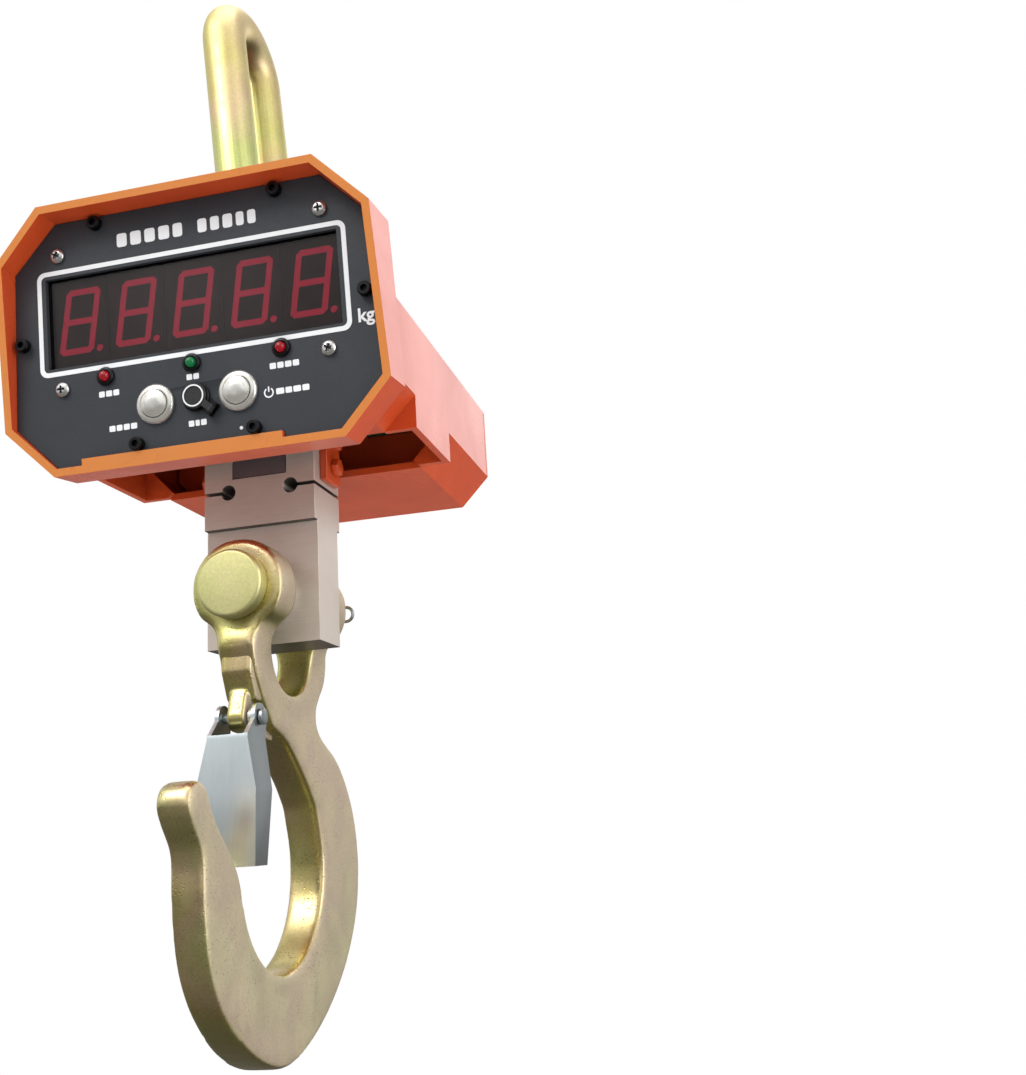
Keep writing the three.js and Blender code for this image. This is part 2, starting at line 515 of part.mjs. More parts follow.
loadCell();
clevisPin("upper_pin", UPPER_PIN_Z, -47, -SHACKLE_EYE_OUTER - GAP, 52.5, 47.5);
washer("upper_washer", PIN_BORE, 19, SHACKLE_EYE_OUTER + GAP, 41, UPPER_PIN_Z, ZINC_BRIGHT);
splitPin("upper_split_pin", 47.5, UPPER_PIN_Z);
clevisPin("lower_pin", LOWER_PIN_Z, -56, -EAR_OUTER - GAP, 62, 56.5);
washer("lower_washer", PIN_BORE, 18.5, EAR_OUTER + GAP, 50, LOWER_PIN_Z, ZINC_BRIGHT);
splitPin("lower_split_pin", 56.5, LOWER_PIN_Z);
washer("lower_spacer_front", PIN_BORE, 19, -EAR_INNER + GAP, -CELL_HALF_LOWER - GAP, LOWER_PIN_Z, STAINLESS);
washer("lower_spacer_rear", PIN_BORE, 19, CELL_HALF_LOWER + GAP, EAR_INNER - GAP, LOWER_PIN_Z, STAINLESS);
shackle();
frontBezel();
casing();
frontPanel();
display();
controls();
insides();
clevisHook();
latch();

const part = new THREE.Group();
scale.position.set(SHACKLE_INSIDE * Math.sin(SHACKLE_LEAN), 0, -UPPER_PIN_Z - SHACKLE_INSIDE * Math.cos(SHACKLE_LEAN));
part.add(scale);

export default part;
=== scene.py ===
import json
import math

import bmesh
import bpy
from mathutils import Matrix, Vector


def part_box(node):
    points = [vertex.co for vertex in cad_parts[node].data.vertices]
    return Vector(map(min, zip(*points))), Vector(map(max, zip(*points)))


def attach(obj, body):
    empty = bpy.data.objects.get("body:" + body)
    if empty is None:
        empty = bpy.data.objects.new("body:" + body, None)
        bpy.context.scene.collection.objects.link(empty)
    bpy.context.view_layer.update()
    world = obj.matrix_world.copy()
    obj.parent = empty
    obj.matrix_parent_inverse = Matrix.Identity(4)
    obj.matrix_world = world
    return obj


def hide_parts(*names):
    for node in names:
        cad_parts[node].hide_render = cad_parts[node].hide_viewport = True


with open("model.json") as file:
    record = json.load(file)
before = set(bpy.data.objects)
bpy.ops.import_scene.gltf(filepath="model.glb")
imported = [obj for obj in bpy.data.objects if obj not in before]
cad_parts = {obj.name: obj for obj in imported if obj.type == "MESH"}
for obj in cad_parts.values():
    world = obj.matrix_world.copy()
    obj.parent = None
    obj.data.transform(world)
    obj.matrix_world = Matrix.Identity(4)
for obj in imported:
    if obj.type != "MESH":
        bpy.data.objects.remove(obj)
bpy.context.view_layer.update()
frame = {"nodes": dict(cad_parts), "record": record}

# ---- Frames. Shapes below are in millimetres, about the load cell or about the tilted front panel. ----
MM = 0.001
CELL_LOW, CELL_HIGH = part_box("load_cell")
CELL_BOTTOM = -66.2  # height of the load cell's lower end, counted from its lower shoulder
PANEL_TILT = 0.121
PANEL_CENTRE = (0, -97.5, 96.8)

CELL_FRAME = (
    Matrix.Translation(((CELL_LOW.x + CELL_HIGH.x) / 2, 0, CELL_LOW.z - CELL_BOTTOM * MM))
    @ Matrix.Scale(MM, 4)
)
PANEL_FRAME = (
    CELL_FRAME
    @ Matrix.Translation(PANEL_CENTRE)
    @ Matrix.Rotation(math.pi / 2 + PANEL_TILT, 4, "X")
)
ALONG_X = Matrix(((0, 0, 1, 0), (1, 0, 0, 0), (0, 1, 0, 0), (0, 0, 0, 1)))  # (y, z) outline, thick along X
ALONG_Y = Matrix(((1, 0, 0, 0), (0, 0, -1, 0), (0, 1, 0, 0), (0, 0, 0, 1)))  # (x, z) outline, thick along -Y

UPPER_PIN_Z = 121
LOWER_PIN_Z = -39.5
SHACKLE_LEAN = 0.09
SHACKLE_BAR = 12.8
SHACKLE_HALF_SPAN = 25
SHACKLE_RISE = 182.8  # pin axis to the centre of the bow
SHACKLE_FOOT = 12  # where the straight legs start above the pin axis
PIN_RADIUS = 12.6
PIN_BORE = 12.9
PRINT_DEPTH = 0.08
PRINT_HEIGHT = 0.03  # how far printed marks start above the panel
FLOOR_Z = -0.9


# ---- Shader groups shared by several finishes ----
def new_group(name, inputs, outputs):
    """An empty shader group with float or vector inputs, as (tree, input node, output node)."""
    tree = bpy.data.node_groups.new(name, "ShaderNodeTree")
    for label, value in inputs:
        kind = "NodeSocketVector" if isinstance(value, tuple) else "NodeSocketFloat"
        tree.interface.new_socket(label, in_out="INPUT", socket_type=kind).default_value = value
    for label, kind in outputs:
        tree.interface.new_socket(label, in_out="OUTPUT", socket_type=kind)
    return tree, tree.nodes.new("NodeGroupInput"), tree.nodes.new("NodeGroupOutput")


def add(tree, kind, settings=(), **inputs):
    """A node with its settings and its inputs, given as values or as the sockets that feed them.

    An input goes by its label, with _ for a space, or by its place, as i0 or i1."""
    node = tree.nodes.new("ShaderNode" + kind)
    for key, value in dict(settings).items():
        setattr(node, key, value)
    for label, value in inputs.items():
        by_place = label[1:].isdigit()
        plug(tree, node, int(label[1:]) if by_place else label.replace("_", " "), value)
    return node


def plug(tree, node, label, value):
    """Sets an input, or links it when value is a socket."""
    socket = node.inputs[label]
    if isinstance(value, bpy.types.NodeSocket):
        tree.links.new(value, socket)
    else:
        socket.default_value = value


def math_node(tree, operation, first, second=0.5):
    return add(tree, "Math", {"operation": operation}, i0=first, i1=second).outputs[0]


def times_plus(tree, value, factor, offset):
    return add(tree, "Math", {"operation": "MULTIPLY_ADD"}, i0=value, i1=factor, i2=offset).outputs[0]


def smooth_range(tree, value, low, high, out_low=0.0, out_high=1.0):
    """Maps a range smoothly onto another."""
    node = add(tree, "MapRange", {"interpolation_type": "SMOOTHSTEP"}, Value=value)
    for socket, number in enumerate((low, high, out_low, out_high), 1):
        plug(tree, node, socket, number)
    return node.outputs[0]


def mix_colours(tree, amount, first, second, blend="MIX"):
    node = add(tree, "Mix", {"data_type": "RGBA", "blend_type": blend})
    plug(tree, node, 0, amount)
    plug(tree, node, 6, first)
    plug(tree, node, 7, second)
    return node.outputs[2]


def tint(tree, mask, amount, first, second):
    """Mixes two colours by a share of a mask."""
    return mix_colours(tree, math_node(tree, "MULTIPLY", mask, amount), first, second)


def build_mottle():
    """Soft cloudy patches, from 0 to 1."""
    tree, given, out = new_group(
        "mottle",
        [("Scale", 20.0), ("Detail", 4.0), ("Low", 0.35), ("High", 0.65), ("Shift", (0.0, 0.0, 0.0))],
        [("Mask", "NodeSocketFloat")])
    place = add(tree, "TexCoord")
    shifted = add(tree, "Mapping", {}, Vector=place.outputs["Object"], Location=given.outputs["Shift"])
    cloud = add(tree, "TexNoise", {}, Vector=shifted.outputs[0], Scale=given.outputs["Scale"],
                Detail=given.outputs["Detail"], Roughness=0.6, Distortion=0.3)
    mask = smooth_range(tree, cloud.outputs[0], given.outputs["Low"], given.outputs["High"])
    tree.links.new(mask, out.inputs[0])
    return tree


def build_grain():
    """Fine lines along one direction: a brushed or drawn surface."""
    tree, given, out = new_group(
        "grain", [("Stretch", (900.0, 900.0, 40.0)), ("Contrast", 1.0)], [("Mask", "NodeSocketFloat")])
    place = add(tree, "TexCoord")
    stretched = add(tree, "Mapping", {}, Vector=place.outputs["Object"], Scale=given.outputs["Stretch"])
    lines = add(tree, "TexNoise", {}, Vector=stretched.outputs[0], Scale=1.0, Detail=3.0, Roughness=0.7)
    centred = math_node(tree, "SUBTRACT", lines.outputs[0], 0.5)
    scaled = math_node(tree, "MULTIPLY", centred, given.outputs["Contrast"])
    tree.links.new(math_node(tree, "ADD", scaled, 0.5), out.inputs[0])
    return tree


def build_pits():
    """Small scattered pits: 1 inside a pit, and a height for a bump."""
    tree, given, out = new_group(
        "pits", [("Scale", 500.0), ("Share", 0.25)],
        [("Mask", "NodeSocketFloat"), ("Height", "NodeSocketFloat")])
    place = add(tree, "TexCoord")
    cells = add(tree, "TexVoronoi", {}, Vector=place.outputs["Object"], Scale=given.outputs["Scale"],
                Randomness=1.0)
    patches = add(tree, "TexNoise", {}, Vector=place.outputs["Object"], Scale=60.0, Detail=3.0)
    reach = math_node(tree, "MULTIPLY", patches.outputs[0], given.outputs["Share"])
    height = smooth_range(tree, cells.outputs["Distance"], 0.0, reach)
    tree.links.new(math_node(tree, "SUBTRACT", 1.0, height), out.inputs[0])
    tree.links.new(height, out.inputs[1])
    return tree


def build_scratches():
    """Sparse thin scratches, 1 on a scratch."""
    tree, given, out = new_group(
        "scratches", [("Scale", 30.0), ("Width", 0.012), ("Shift", (0.0, 0.0, 0.0))],
        [("Mask", "NodeSocketFloat")])
    place = add(tree, "TexCoord")
    skewed = add(tree, "Mapping", {}, Vector=place.outputs["Object"], Location=given.outputs["Shift"],
                 Rotation=(0.5, 0.9, 0.3))
    warp = add(tree, "TexNoise", {}, Vector=skewed.outputs[0], Scale=given.outputs["Scale"], Detail=1.0,
               Distortion=2.0)
    centred = math_node(tree, "ABSOLUTE", math_node(tree, "SUBTRACT", warp.outputs[0], 0.5))
    line = math_node(tree, "LESS_THAN", centred, given.outputs["Width"])
    where = add(tree, "TexNoise", {}, Vector=skewed.outputs[0], Scale=45.0, Detail=2.0)
    shown = math_node(tree, "GREATER_THAN", where.outputs[0], 0.6)
    tree.links.new(math_node(tree, "MULTIPLY", line, shown), out.inputs[0])
    return tree


MOTTLE = build_mottle()
GRAIN = build_grain()
PITS = build_pits()
SCRATCHES = build_scratches()


def use(tree, group, **inputs):
    """A shared group placed in a material."""
    node = tree.nodes.new("ShaderNodeGroup")
    node.node_tree = group
    for label, value in inputs.items():
        plug(tree, node, label, value)
    return node


def finish_of(name, base, roughness, metallic=0.0, **sockets):
    """A material with its Principled shader, as (material, tree, shader)."""
    material = bpy.data.materials.new(name)
    material.use_nodes = True
    tree = material.node_tree
    shader = tree.nodes["Principled BSDF"]
    shader.inputs["Base Color"].default_value = (*base, 1)
    shader.inputs["Roughness"].default_value = roughness
    shader.inputs["Metallic"].default_value = metallic
    for label, value in sockets.items():
        shader.inputs[label.replace("_", " ")].default_value = value
    return material, tree, shader


def bump(tree, shader, height, strength, distance):
    node = add(tree, "Bump", {}, Height=height, Strength=strength, Distance=distance)
    tree.links.new(node.outputs[0], shader.inputs["Normal"])


def place_normal(tree):
    """The direction a surface faces."""
    return add(tree, "TexCoord").outputs["Normal"]


def ramp(tree, factor, stops):
    """A colour ramp through (position, colour) stops."""
    node = add(tree, "ValToRGB", {}, Fac=factor)
    elements = node.color_ramp.elements
    while len(elements) < len(stops):
        elements.new(0.5)
    for element, (position, colour) in zip(elements, stops):
        element.position = position
        element.color = (*colour, 1)
    return node.outputs[0]


# ---- Finishes ----
GOLD_DRIFT = [
    (0.0, (0.60, 0.62, 0.20)), (0.4, (0.66, 0.55, 0.21)), (0.62, (0.72, 0.54, 0.32)),
    (1.0, (0.57, 0.63, 0.22))]
MATT_DRIFT = [(0.0, (0.46, 0.37, 0.27)), (0.5, (0.60, 0.48, 0.365)), (1.0, (0.56, 0.50, 0.33))]


def yellow_zinc(name, shift, roughness, pitting, matt_sides=0.0, pale_share=0.0):
    """Yellow-passivated zinc: gold, olive and pink drift into each other over a forged or a turned surface.

    matt_sides dulls the surfaces that face left or right; the last argument turns the whole film towards pale
    yellow-green and makes it less metallic."""
    material, tree, shader = finish_of(name, (0.6, 0.5, 0.2), roughness, 1.0)
    drift = use(tree, MOTTLE, Scale=9.0, Detail=2.0, Low=0.3, High=0.7, Shift=shift)
    fine = use(tree, MOTTLE, Scale=55.0, Detail=5.0, Low=0.3, High=0.75, Shift=shift)
    speck = use(tree, MOTTLE, Scale=700.0, Detail=3.0, Low=0.3, High=0.7, Shift=shift)
    film = mix_colours(tree, pale_share, ramp(tree, drift.outputs[0], GOLD_DRIFT), (0.72, 0.74, 0.30, 1))
    facing = add(tree, "SeparateXYZ", {}, Vector=place_normal(tree))
    side = math_node(tree, "ABSOLUTE", facing.outputs[0], 0.0)
    side = smooth_range(tree, side, 0.55, 0.92, 0.0, matt_sides)
    # under darkens the surfaces that face down towards a dark olive: painted shade.
    under = smooth_range(tree, facing.outputs[2], -0.3, -0.85, 0.0, 0.62)
    film = mix_colours(tree, side, film, ramp(tree, drift.outputs[0], MATT_DRIFT))
    toned = tint(tree, fine.outputs[0], 0.3, film, (0.78, 0.72, 0.42, 1))
    toned = tint(tree, speck.outputs[0], 0.22, toned, (0.36, 0.29, 0.17, 1))
    # The painted shade on the downward faces is mixed in here.
    toned = mix_colours(tree, under, toned, (0.14, 0.12, 0.045, 1))
    pits = use(tree, PITS, Scale=pitting[0], Share=pitting[1])
    dark = tint(tree, pits.outputs[0], 0.75, toned, (0.10, 0.085, 0.03, 1))
    tree.links.new(dark, shader.inputs["Base Color"])
    dulling = math_node(tree, "MULTIPLY", side, 0.42)
    metal = math_node(tree, "SUBTRACT", 1.0 - 0.3 * pale_share, dulling)
    tree.links.new(metal, shader.inputs["Metallic"])
    rough = times_plus(tree, fine.outputs[0], 0.16, roughness)
    tree.links.new(times_plus(tree, side, 0.22, rough), shader.inputs["Roughness"])
    bump(tree, shader, pits.outputs[1], 0.35, 0.0004)
    return material


def brushed_metal(name, base, dark, roughness, stretch, contrast=0.9, metallic=1.0, shade=(0, 0.0)):
    """Plain metal with fine lines and a faint cloud of tarnish.

    shade is an axis and an amount: surfaces that face along that axis are darkened by the amount, as painted
    shade."""
    material, tree, shader = finish_of(name, base, roughness, metallic)
    lines = use(tree, GRAIN, Stretch=stretch, Contrast=contrast)
    cloud = use(tree, MOTTLE, Scale=16.0, Detail=4.0, Low=0.3, High=0.8, Shift=(0.2, 0.1, 0.4))
    toned = tint(tree, cloud.outputs[0], 0.55, (*base, 1), (*dark, 1))
    lined = mix_colours(tree, 0.22, toned, lines.outputs[0], "OVERLAY")
    facing = add(tree, "SeparateXYZ", {}, Vector=place_normal(tree))
    axis, amount = shade
    # Painted shade: surfaces that face along the chosen axis are darkened towards near black.
    along = math_node(tree, "ABSOLUTE", facing.outputs[axis], 0.0)
    along = smooth_range(tree, along, 0.15, 0.6, 0.0, amount)
    lined = mix_colours(tree, along, lined, (0.05, 0.04, 0.035, 1))
    tree.links.new(lined, shader.inputs["Base Color"])
    rough = times_plus(tree, lines.outputs[0], 0.14, roughness)
    tree.links.new(rough, shader.inputs["Roughness"])
    bump(tree, shader, lines.outputs[0], 0.12, 0.0001)
    return material


def orange_enamel(name, base, deep, roughness, front_highlight=0.0):
    """Glossy sprayed enamel, with orange peel and faint scratches.

    The last argument turns the surfaces that face the front towards a paler orange: a painted highlight."""
    material, tree, shader = finish_of(name, base, roughness, 0.0, Coat_Weight=0.35, Coat_Roughness=0.12)
    cloud = use(tree, MOTTLE, Scale=12.0, Detail=3.0, Low=0.25, High=0.8, Shift=(0.3, 0.7, 0.1))
    marks = use(tree, SCRATCHES, Scale=26.0, Width=0.004, Shift=(0.1, 0.2, 0.3))
    toned = mix_colours(tree, cloud.outputs[0], (*base, 1), (*deep, 1))
    facing = add(tree, "SeparateXYZ", {}, Vector=place_normal(tree))
    # Painted highlight: the surfaces that face the front turn towards a paler golden orange.
    lip = smooth_range(tree, facing.outputs[1], -0.75, -0.95, 0.0, front_highlight)
    toned = mix_colours(tree, lip, toned, (0.60, 0.215, 0.04, 1))
    marked = tint(tree, marks.outputs[0], 0.35, toned, (0.25, 0.04, 0.015, 1))
    tree.links.new(marked, shader.inputs["Base Color"])
    rough = times_plus(tree, cloud.outputs[0], 0.1, roughness)
    tree.links.new(rough, shader.inputs["Roughness"])
    peel = use(tree, MOTTLE, Scale=420.0, Detail=2.0, Low=0.2, High=0.8, Shift=(0.0, 0.0, 0.0))
    bump(tree, shader, peel.outputs[0], 0.06, 0.0002)
    return material


def moulded(name, base, roughness, fleck, amount):
    """Plastic, rubber or film with a faint speckle and a fine skin."""
    material, tree, shader = finish_of(name, base, roughness)
    skin = use(tree, MOTTLE, Scale=900.0, Detail=2.0, Low=0.35, High=0.7, Shift=(0.0, 0.0, 0.0))
    cloud = use(tree, MOTTLE, Scale=25.0, Detail=4.0, Low=0.3, High=0.8, Shift=(0.5, 0.2, 0.0))
    toned = tint(tree, cloud.outputs[0], amount, (*base, 1), (*fleck, 1))
    tree.links.new(toned, shader.inputs["Base Color"])
    rough = times_plus(tree, skin.outputs[0], 0.12, roughness)
    tree.links.new(rough, shader.inputs["Roughness"])
    bump(tree, shader, skin.outputs[0], 0.08, 0.00005)
    return material


def lens(name, base, glow, roughness, strength, weight):
    """A tinted lens or window, with a faint haze of dust."""
    material, tree, shader = finish_of(
        name, base, roughness, 0.0, Transmission_Weight=weight, IOR=1.49,
        Emission_Color=(*glow, 1), Emission_Strength=strength)
    haze = use(tree, MOTTLE, Scale=70.0, Detail=5.0, Low=0.4, High=0.9, Shift=(0.0, 0.3, 0.2))
    rough = times_plus(tree, haze.outputs[0], 0.08, roughness)
    tree.links.new(rough, shader.inputs["Roughness"])
    return material


FORGED_ZINC = yellow_zinc("forged_zinc", (0.1, 0.4, 0.2), 0.24, (560.0, 0.52), 1.0)
BAR_ZINC = yellow_zinc("bar_zinc", (0.6, 0.1, 0.9), 0.4, (1400.0, 0.22))
PIN_ZINC = yellow_zinc("pin_zinc", (0.3, 0.8, 0.5), 0.32, (1600.0, 0.12), 0.0, 0.75)
# brushed_nickel paints shade on the faces that point up or down, such as the shoulder's underside and the
# insides of the holes; bright_zinc paints shade on the faces that point left or right.
NICKEL = brushed_metal(
    "brushed_nickel", (0.68, 0.60, 0.53), (0.52, 0.44, 0.38), 0.38, (60.0, 1400.0, 1400.0),
    metallic=0.55, shade=(2, 0.9))
BRIGHT_ZINC = brushed_metal(
    "bright_zinc", (0.66, 0.71, 0.74), (0.50, 0.60, 0.58), 0.28, (900.0, 900.0, 60.0), 0.6, shade=(0, 0.45))
STAINLESS = brushed_metal(
    "stainless", (0.80, 0.79, 0.74), (0.66, 0.64, 0.60), 0.2, (400.0, 400.0, 400.0), 0.15, 0.8)
BLACK_OXIDE = brushed_metal(
    "black_oxide", (0.035, 0.035, 0.038), (0.02, 0.02, 0.02), 0.3, (700.0, 700.0, 700.0))
WHITE_PLATE = brushed_metal(
    "white_plate", (0.80, 0.80, 0.79), (0.6, 0.6, 0.6), 0.24, (500.0, 500.0, 500.0), 0.4)
ENAMEL = orange_enamel("orange_enamel", (0.58, 0.072, 0.016), (0.48, 0.052, 0.012), 0.26)
# lip_enamel carries the painted highlight on the surfaces that face the front.
LIP_ENAMEL = orange_enamel("lip_enamel", (0.58, 0.072, 0.016), (0.48, 0.052, 0.012), 0.26, 0.85)
PANEL_FILM = moulded("panel_film", (0.020, 0.0245, 0.031), 0.5, (0.030, 0.034, 0.041), 0.5)
WHITE_INK = moulded("white_ink", (0.78, 0.79, 0.80), 0.5, (0.62, 0.63, 0.64), 0.4)
RUBBER = moulded("black_rubber", (0.012, 0.012, 0.013), 0.55, (0.03, 0.03, 0.03), 0.5)
MODULE_FACE = moulded("module_face", (0.012, 0.006, 0.007), 0.4, (0.022, 0.011, 0.012), 0.4)
POTTING = moulded("potting_compound", (0.075, 0.055, 0.06), 0.35, (0.14, 0.10, 0.10), 0.7)
BOARD_MASK = moulded("board_mask", (0.012, 0.10, 0.04), 0.35, (0.03, 0.16, 0.07), 0.5)
CELL_SLEEVE = moulded("battery_sleeve", (0.02, 0.045, 0.13), 0.3, (0.03, 0.07, 0.18), 0.4)
SEGMENT_RED = lens("segment_red", (0.30, 0.015, 0.04), (0.64, 0.018, 0.085), 0.4, 0.45, 0.0)
RED_LENS = lens("red_lens", (0.35, 0.010, 0.018), (0.5, 0.01, 0.02), 0.06, 0.08, 0.3)
GREEN_LENS = lens("green_lens", (0.008, 0.17, 0.055), (0.01, 0.25, 0.07), 0.06, 0.08, 0.3)
SMOKED = lens("smoked_window", (0.62, 0.50, 0.48), (0.0, 0.0, 0.0), 0.02, 0.0, 1.0)


# ---- Shapes ----
def verts_of(geom):
    return [g for g in geom if isinstance(g, bmesh.types.BMVert)]


def edges_of(geom):
    return [g for g in geom if isinstance(g, bmesh.types.BMEdge)]


def raise_faces(bm, depth):
    """Gives flat faces a thickness along Z."""
    raised = bmesh.ops.extrude_face_region(bm, geom=list(bm.faces))["geom"]
    bmesh.ops.translate(bm, vec=(0, 0, depth), verts=verts_of(raised))
    bmesh.ops.recalc_face_normals(bm, faces=bm.faces)
    return bm


def extend(bm, rim, rise):
    """Draws a loop of edges out along Z, and returns the new loop."""
    grown = bmesh.ops.extrude_edge_only(bm, edges=rim)["geom"]
    bmesh.ops.translate(bm, vec=(0, 0, rise), verts=verts_of(grown))
    return edges_of(grown)


def soften(bm, width, segments=2, angle=25):
    """Rounds every edge sharper than angle degrees."""
    sharp = [e for e in bm.edges if e.is_manifold and e.calc_face_angle() > math.radians(angle)]
    bmesh.ops.bevel(bm, geom=sharp, offset=width, offset_type="OFFSET", affect="EDGES", segments=segments,
                    profile=0.5, material=-1, clamp_overlap=True)
    return bm


def turned(profile, segments=48, closed=False):
    """A round solid about Z. The profile's points are (radius, height), from the axis back to the axis."""
    bm = bmesh.new()
    corners = [bm.verts.new((r, 0, h)) for r, h in profile]
    runs = list(zip(corners, corners[1:])) + ([(corners[-1], corners[0])] if closed else [])
    edges = [bm.edges.new(run) for run in runs]
    bmesh.ops.spin(bm, geom=corners + edges, cent=(0, 0, 0), axis=(0, 0, 1), angle=math.tau,
                   steps=segments, use_merge=True)
    bmesh.ops.remove_doubles(bm, verts=bm.verts, dist=1e-4)
    bmesh.ops.recalc_face_normals(bm, faces=bm.faces)
    return bm


def prism(outline, depth, start=0.0):
    """An outline in the XY plane, raised along Z."""
    bm = bmesh.new()
    bm.faces.new([bm.verts.new((a, b, start)) for a, b in outline])
    return raise_faces(bm, depth)


def rounded_plate(half_width, half_height, corner, depth, start, steps=6):
    """A rectangle with rounded corners, raised along Z."""
    bm = bmesh.new()
    bmesh.ops.create_grid(bm, x_segments=1, y_segments=1, size=1)
    bmesh.ops.scale(bm, vec=(half_width, half_height, 1), verts=bm.verts)
    bmesh.ops.bevel(bm, geom=list(bm.verts), offset=corner, offset_type="OFFSET", affect="VERTICES",
                    segments=steps, profile=0.5, material=-1)
    raise_faces(bm, depth)
    return moved(bm, Matrix.Translation((0, 0, start)))


def arc(a, b, radius, start, end, steps):
    """Points along an arc, in radians."""
    turns = [start + (end - start) * i / steps for i in range(steps + 1)]
    return [(a + radius * math.cos(t), b + radius * math.sin(t)) for t in turns]


def through(points, steps):
    """Points along a smooth curve through the given ones."""
    ends = [points[0], *points, points[-1]]
    found = []
    for i in range(steps + 1):
        place = (len(points) - 1) * i / steps
        span = min(int(place), len(points) - 2)
        t = place - span
        p0, p1, p2, p3 = (Vector(p) for p in ends[span:span + 4])
        v0, v1 = (p2 - p0) / 2, (p3 - p1) / 2
        point = p1 + v0 * t + (3 * (p2 - p1) - 2 * v0 - v1) * t**2 + (2 * (p1 - p2) + v0 + v1) * t**3
        found.append((point.x, point.y))
    return found


def merge(*parts):
    """Several bmeshes as one."""
    whole = bmesh.new()
    for part in parts:
        mesh = bpy.data.meshes.new("part")
        part.to_mesh(mesh)
        part.free()
        whole.from_mesh(mesh)
        bpy.data.meshes.remove(mesh)
    return whole


def moved(bm, matrix):
    bmesh.ops.transform(bm, matrix=matrix, verts=bm.verts)
    return bm


def about_y(bm, x, z):
    """A shape turned about Z, laid so that its axis runs along Y and its top faces -Y."""
    return moved(bm, Matrix.Translation((x, 0, z)) @ Matrix.Rotation(math.pi / 2, 4, "X"))


# ---- Making pieces ----
FLAT_AREA = 1.2e-4  # faces larger than this many square metres are flat walls


def piece(name, bm, place, body, slot, material, stands_for=(), smooth=38, flat=FLAT_AREA):
    """Puts a shape in its place and gives it its body and finish. Faces over flat m2 stay flat."""
    moved(bm, place)
    mesh = bpy.data.meshes.new(name)
    bm.to_mesh(mesh)
    bm.free()
    mesh.materials.append(material)
    mesh.shade_smooth()
    mesh.set_sharp_from_angle(angle=math.radians(smooth))
    for face in mesh.polygons:
        face.use_smooth = face.area < flat
    made = bpy.data.objects.new(name, mesh)
    bpy.context.scene.collection.objects.link(made)
    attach(made, body)
    if stands_for:
        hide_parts(*stands_for)
    return made


BODY_OF = {node: body for body, nodes in frame["record"]["behaviour"]["bodies"].items() for node in nodes}
SLOT_OF = {row["node"]: row["material_slot"] for row in frame["record"]["subparts"]}


def stand_in(node, ending, bm, place, material, smooth=38, flat=FLAT_AREA):
    """Puts a shape in place of a CAD node, on the node's body."""
    return piece(node + ending, bm, place, BODY_OF[node], SLOT_OF[node], material, [node], smooth, flat)


def on_panel(a, b, c=0.0):
    return PANEL_FRAME @ Matrix.Translation((a, b, c))


def eased_copy(node, width, material, segments=2, angle=25, smooth=38, flat=FLAT_AREA):
    """Stands for a CAD node with a merged copy of it whose sharp edges are rounded."""
    bm = bmesh.new()
    bm.from_mesh(frame["nodes"][node].data)
    bmesh.ops.remove_doubles(bm, verts=bm.verts, dist=2e-6)
    bmesh.ops.dissolve_limit(bm, angle_limit=math.radians(0.4), verts=bm.verts, edges=bm.edges)
    soften(bm, width * MM, segments, angle)
    return stand_in(node, "_eased", bm, Matrix.Identity(4), material, smooth, flat)


def paint_node(material, *names):
    """Gives CAD nodes their finish."""
    for name in names:
        node = frame["nodes"][name]
        node.data.materials.clear()
        node.data.materials.append(material)


# ---- Shackle and hook ----
def collar(outer, low, high, ease, segments=2, steps=64):
    """A ring that fits round a pin, with eased edges."""
    profile = [(PIN_BORE, low), (outer, low), (outer, high), (PIN_BORE, high)]
    return soften(turned(profile, steps, closed=True), ease, segments)


def shackle():
    """A bent round bar with two forged eyes."""
    bm = bmesh.new()
    foot = bmesh.ops.create_circle(bm, cap_ends=False, segments=40, radius=SHACKLE_BAR)["verts"]
    bmesh.ops.translate(bm, vec=(0, -SHACKLE_HALF_SPAN, SHACKLE_FOOT), verts=foot)
    rim = list(bm.edges)
    bm.faces.new(foot)
    for rise in (40, 60, 50, SHACKLE_RISE - 162):
        rim = extend(bm, rim, rise)
    bow = bmesh.ops.spin(bm, geom=rim, cent=(0, 0, SHACKLE_RISE), axis=(-1, 0, 0), angle=math.pi, steps=40,
                         use_merge=False)["geom_last"]
    rim = edges_of(bow)
    for drop in (60, 60, 50.8):
        rim = extend(bm, rim, -drop)
    bmesh.ops.contextual_create(bm, geom=rim)
    bmesh.ops.remove_doubles(bm, verts=bm.verts, dist=1e-3)
    bmesh.ops.recalc_face_normals(bm, faces=bm.faces)
    eyes = [about_y(collar(23, low, low + 26.3, 3, 3, 56), 0, 0) for low in (-38.5, 12.2)]
    whole = merge(bm, *eyes)
    place = CELL_FRAME @ Matrix.Translation((0, 0, UPPER_PIN_Z)) @ Matrix.Rotation(-SHACKLE_LEAN, 4, "Y")
    piece("shackle_bar", whole, place, "shackle_set", "zinc_gold", BAR_ZINC, ["shackle"], 50)


HOOK_BACK = [
    (45, -50), (46.6, -59), (49.5, -70), (46.5, -82), (38, -92), (33, -101), (39, -111), (64, -124),
    (82, -143), (92, -165), (94, -190), (87, -215), (69, -239), (42, -259), (12, -272), (-14, -276),
    (-38, -270), (-62, -257), (-81, -240), (-93, -219), (-98, -193), (-99, -173), (-107, -161)]
HOOK_FRONT = [(-44, -86), (-48.5, -74), (-49, -67), (-46.6, -59), (-45, -50)]
HOOK_HALF = 11
TIP_SHARE = 0.17  # how much thinner the tip is than the rest
TIP_SHIFT = 1.0


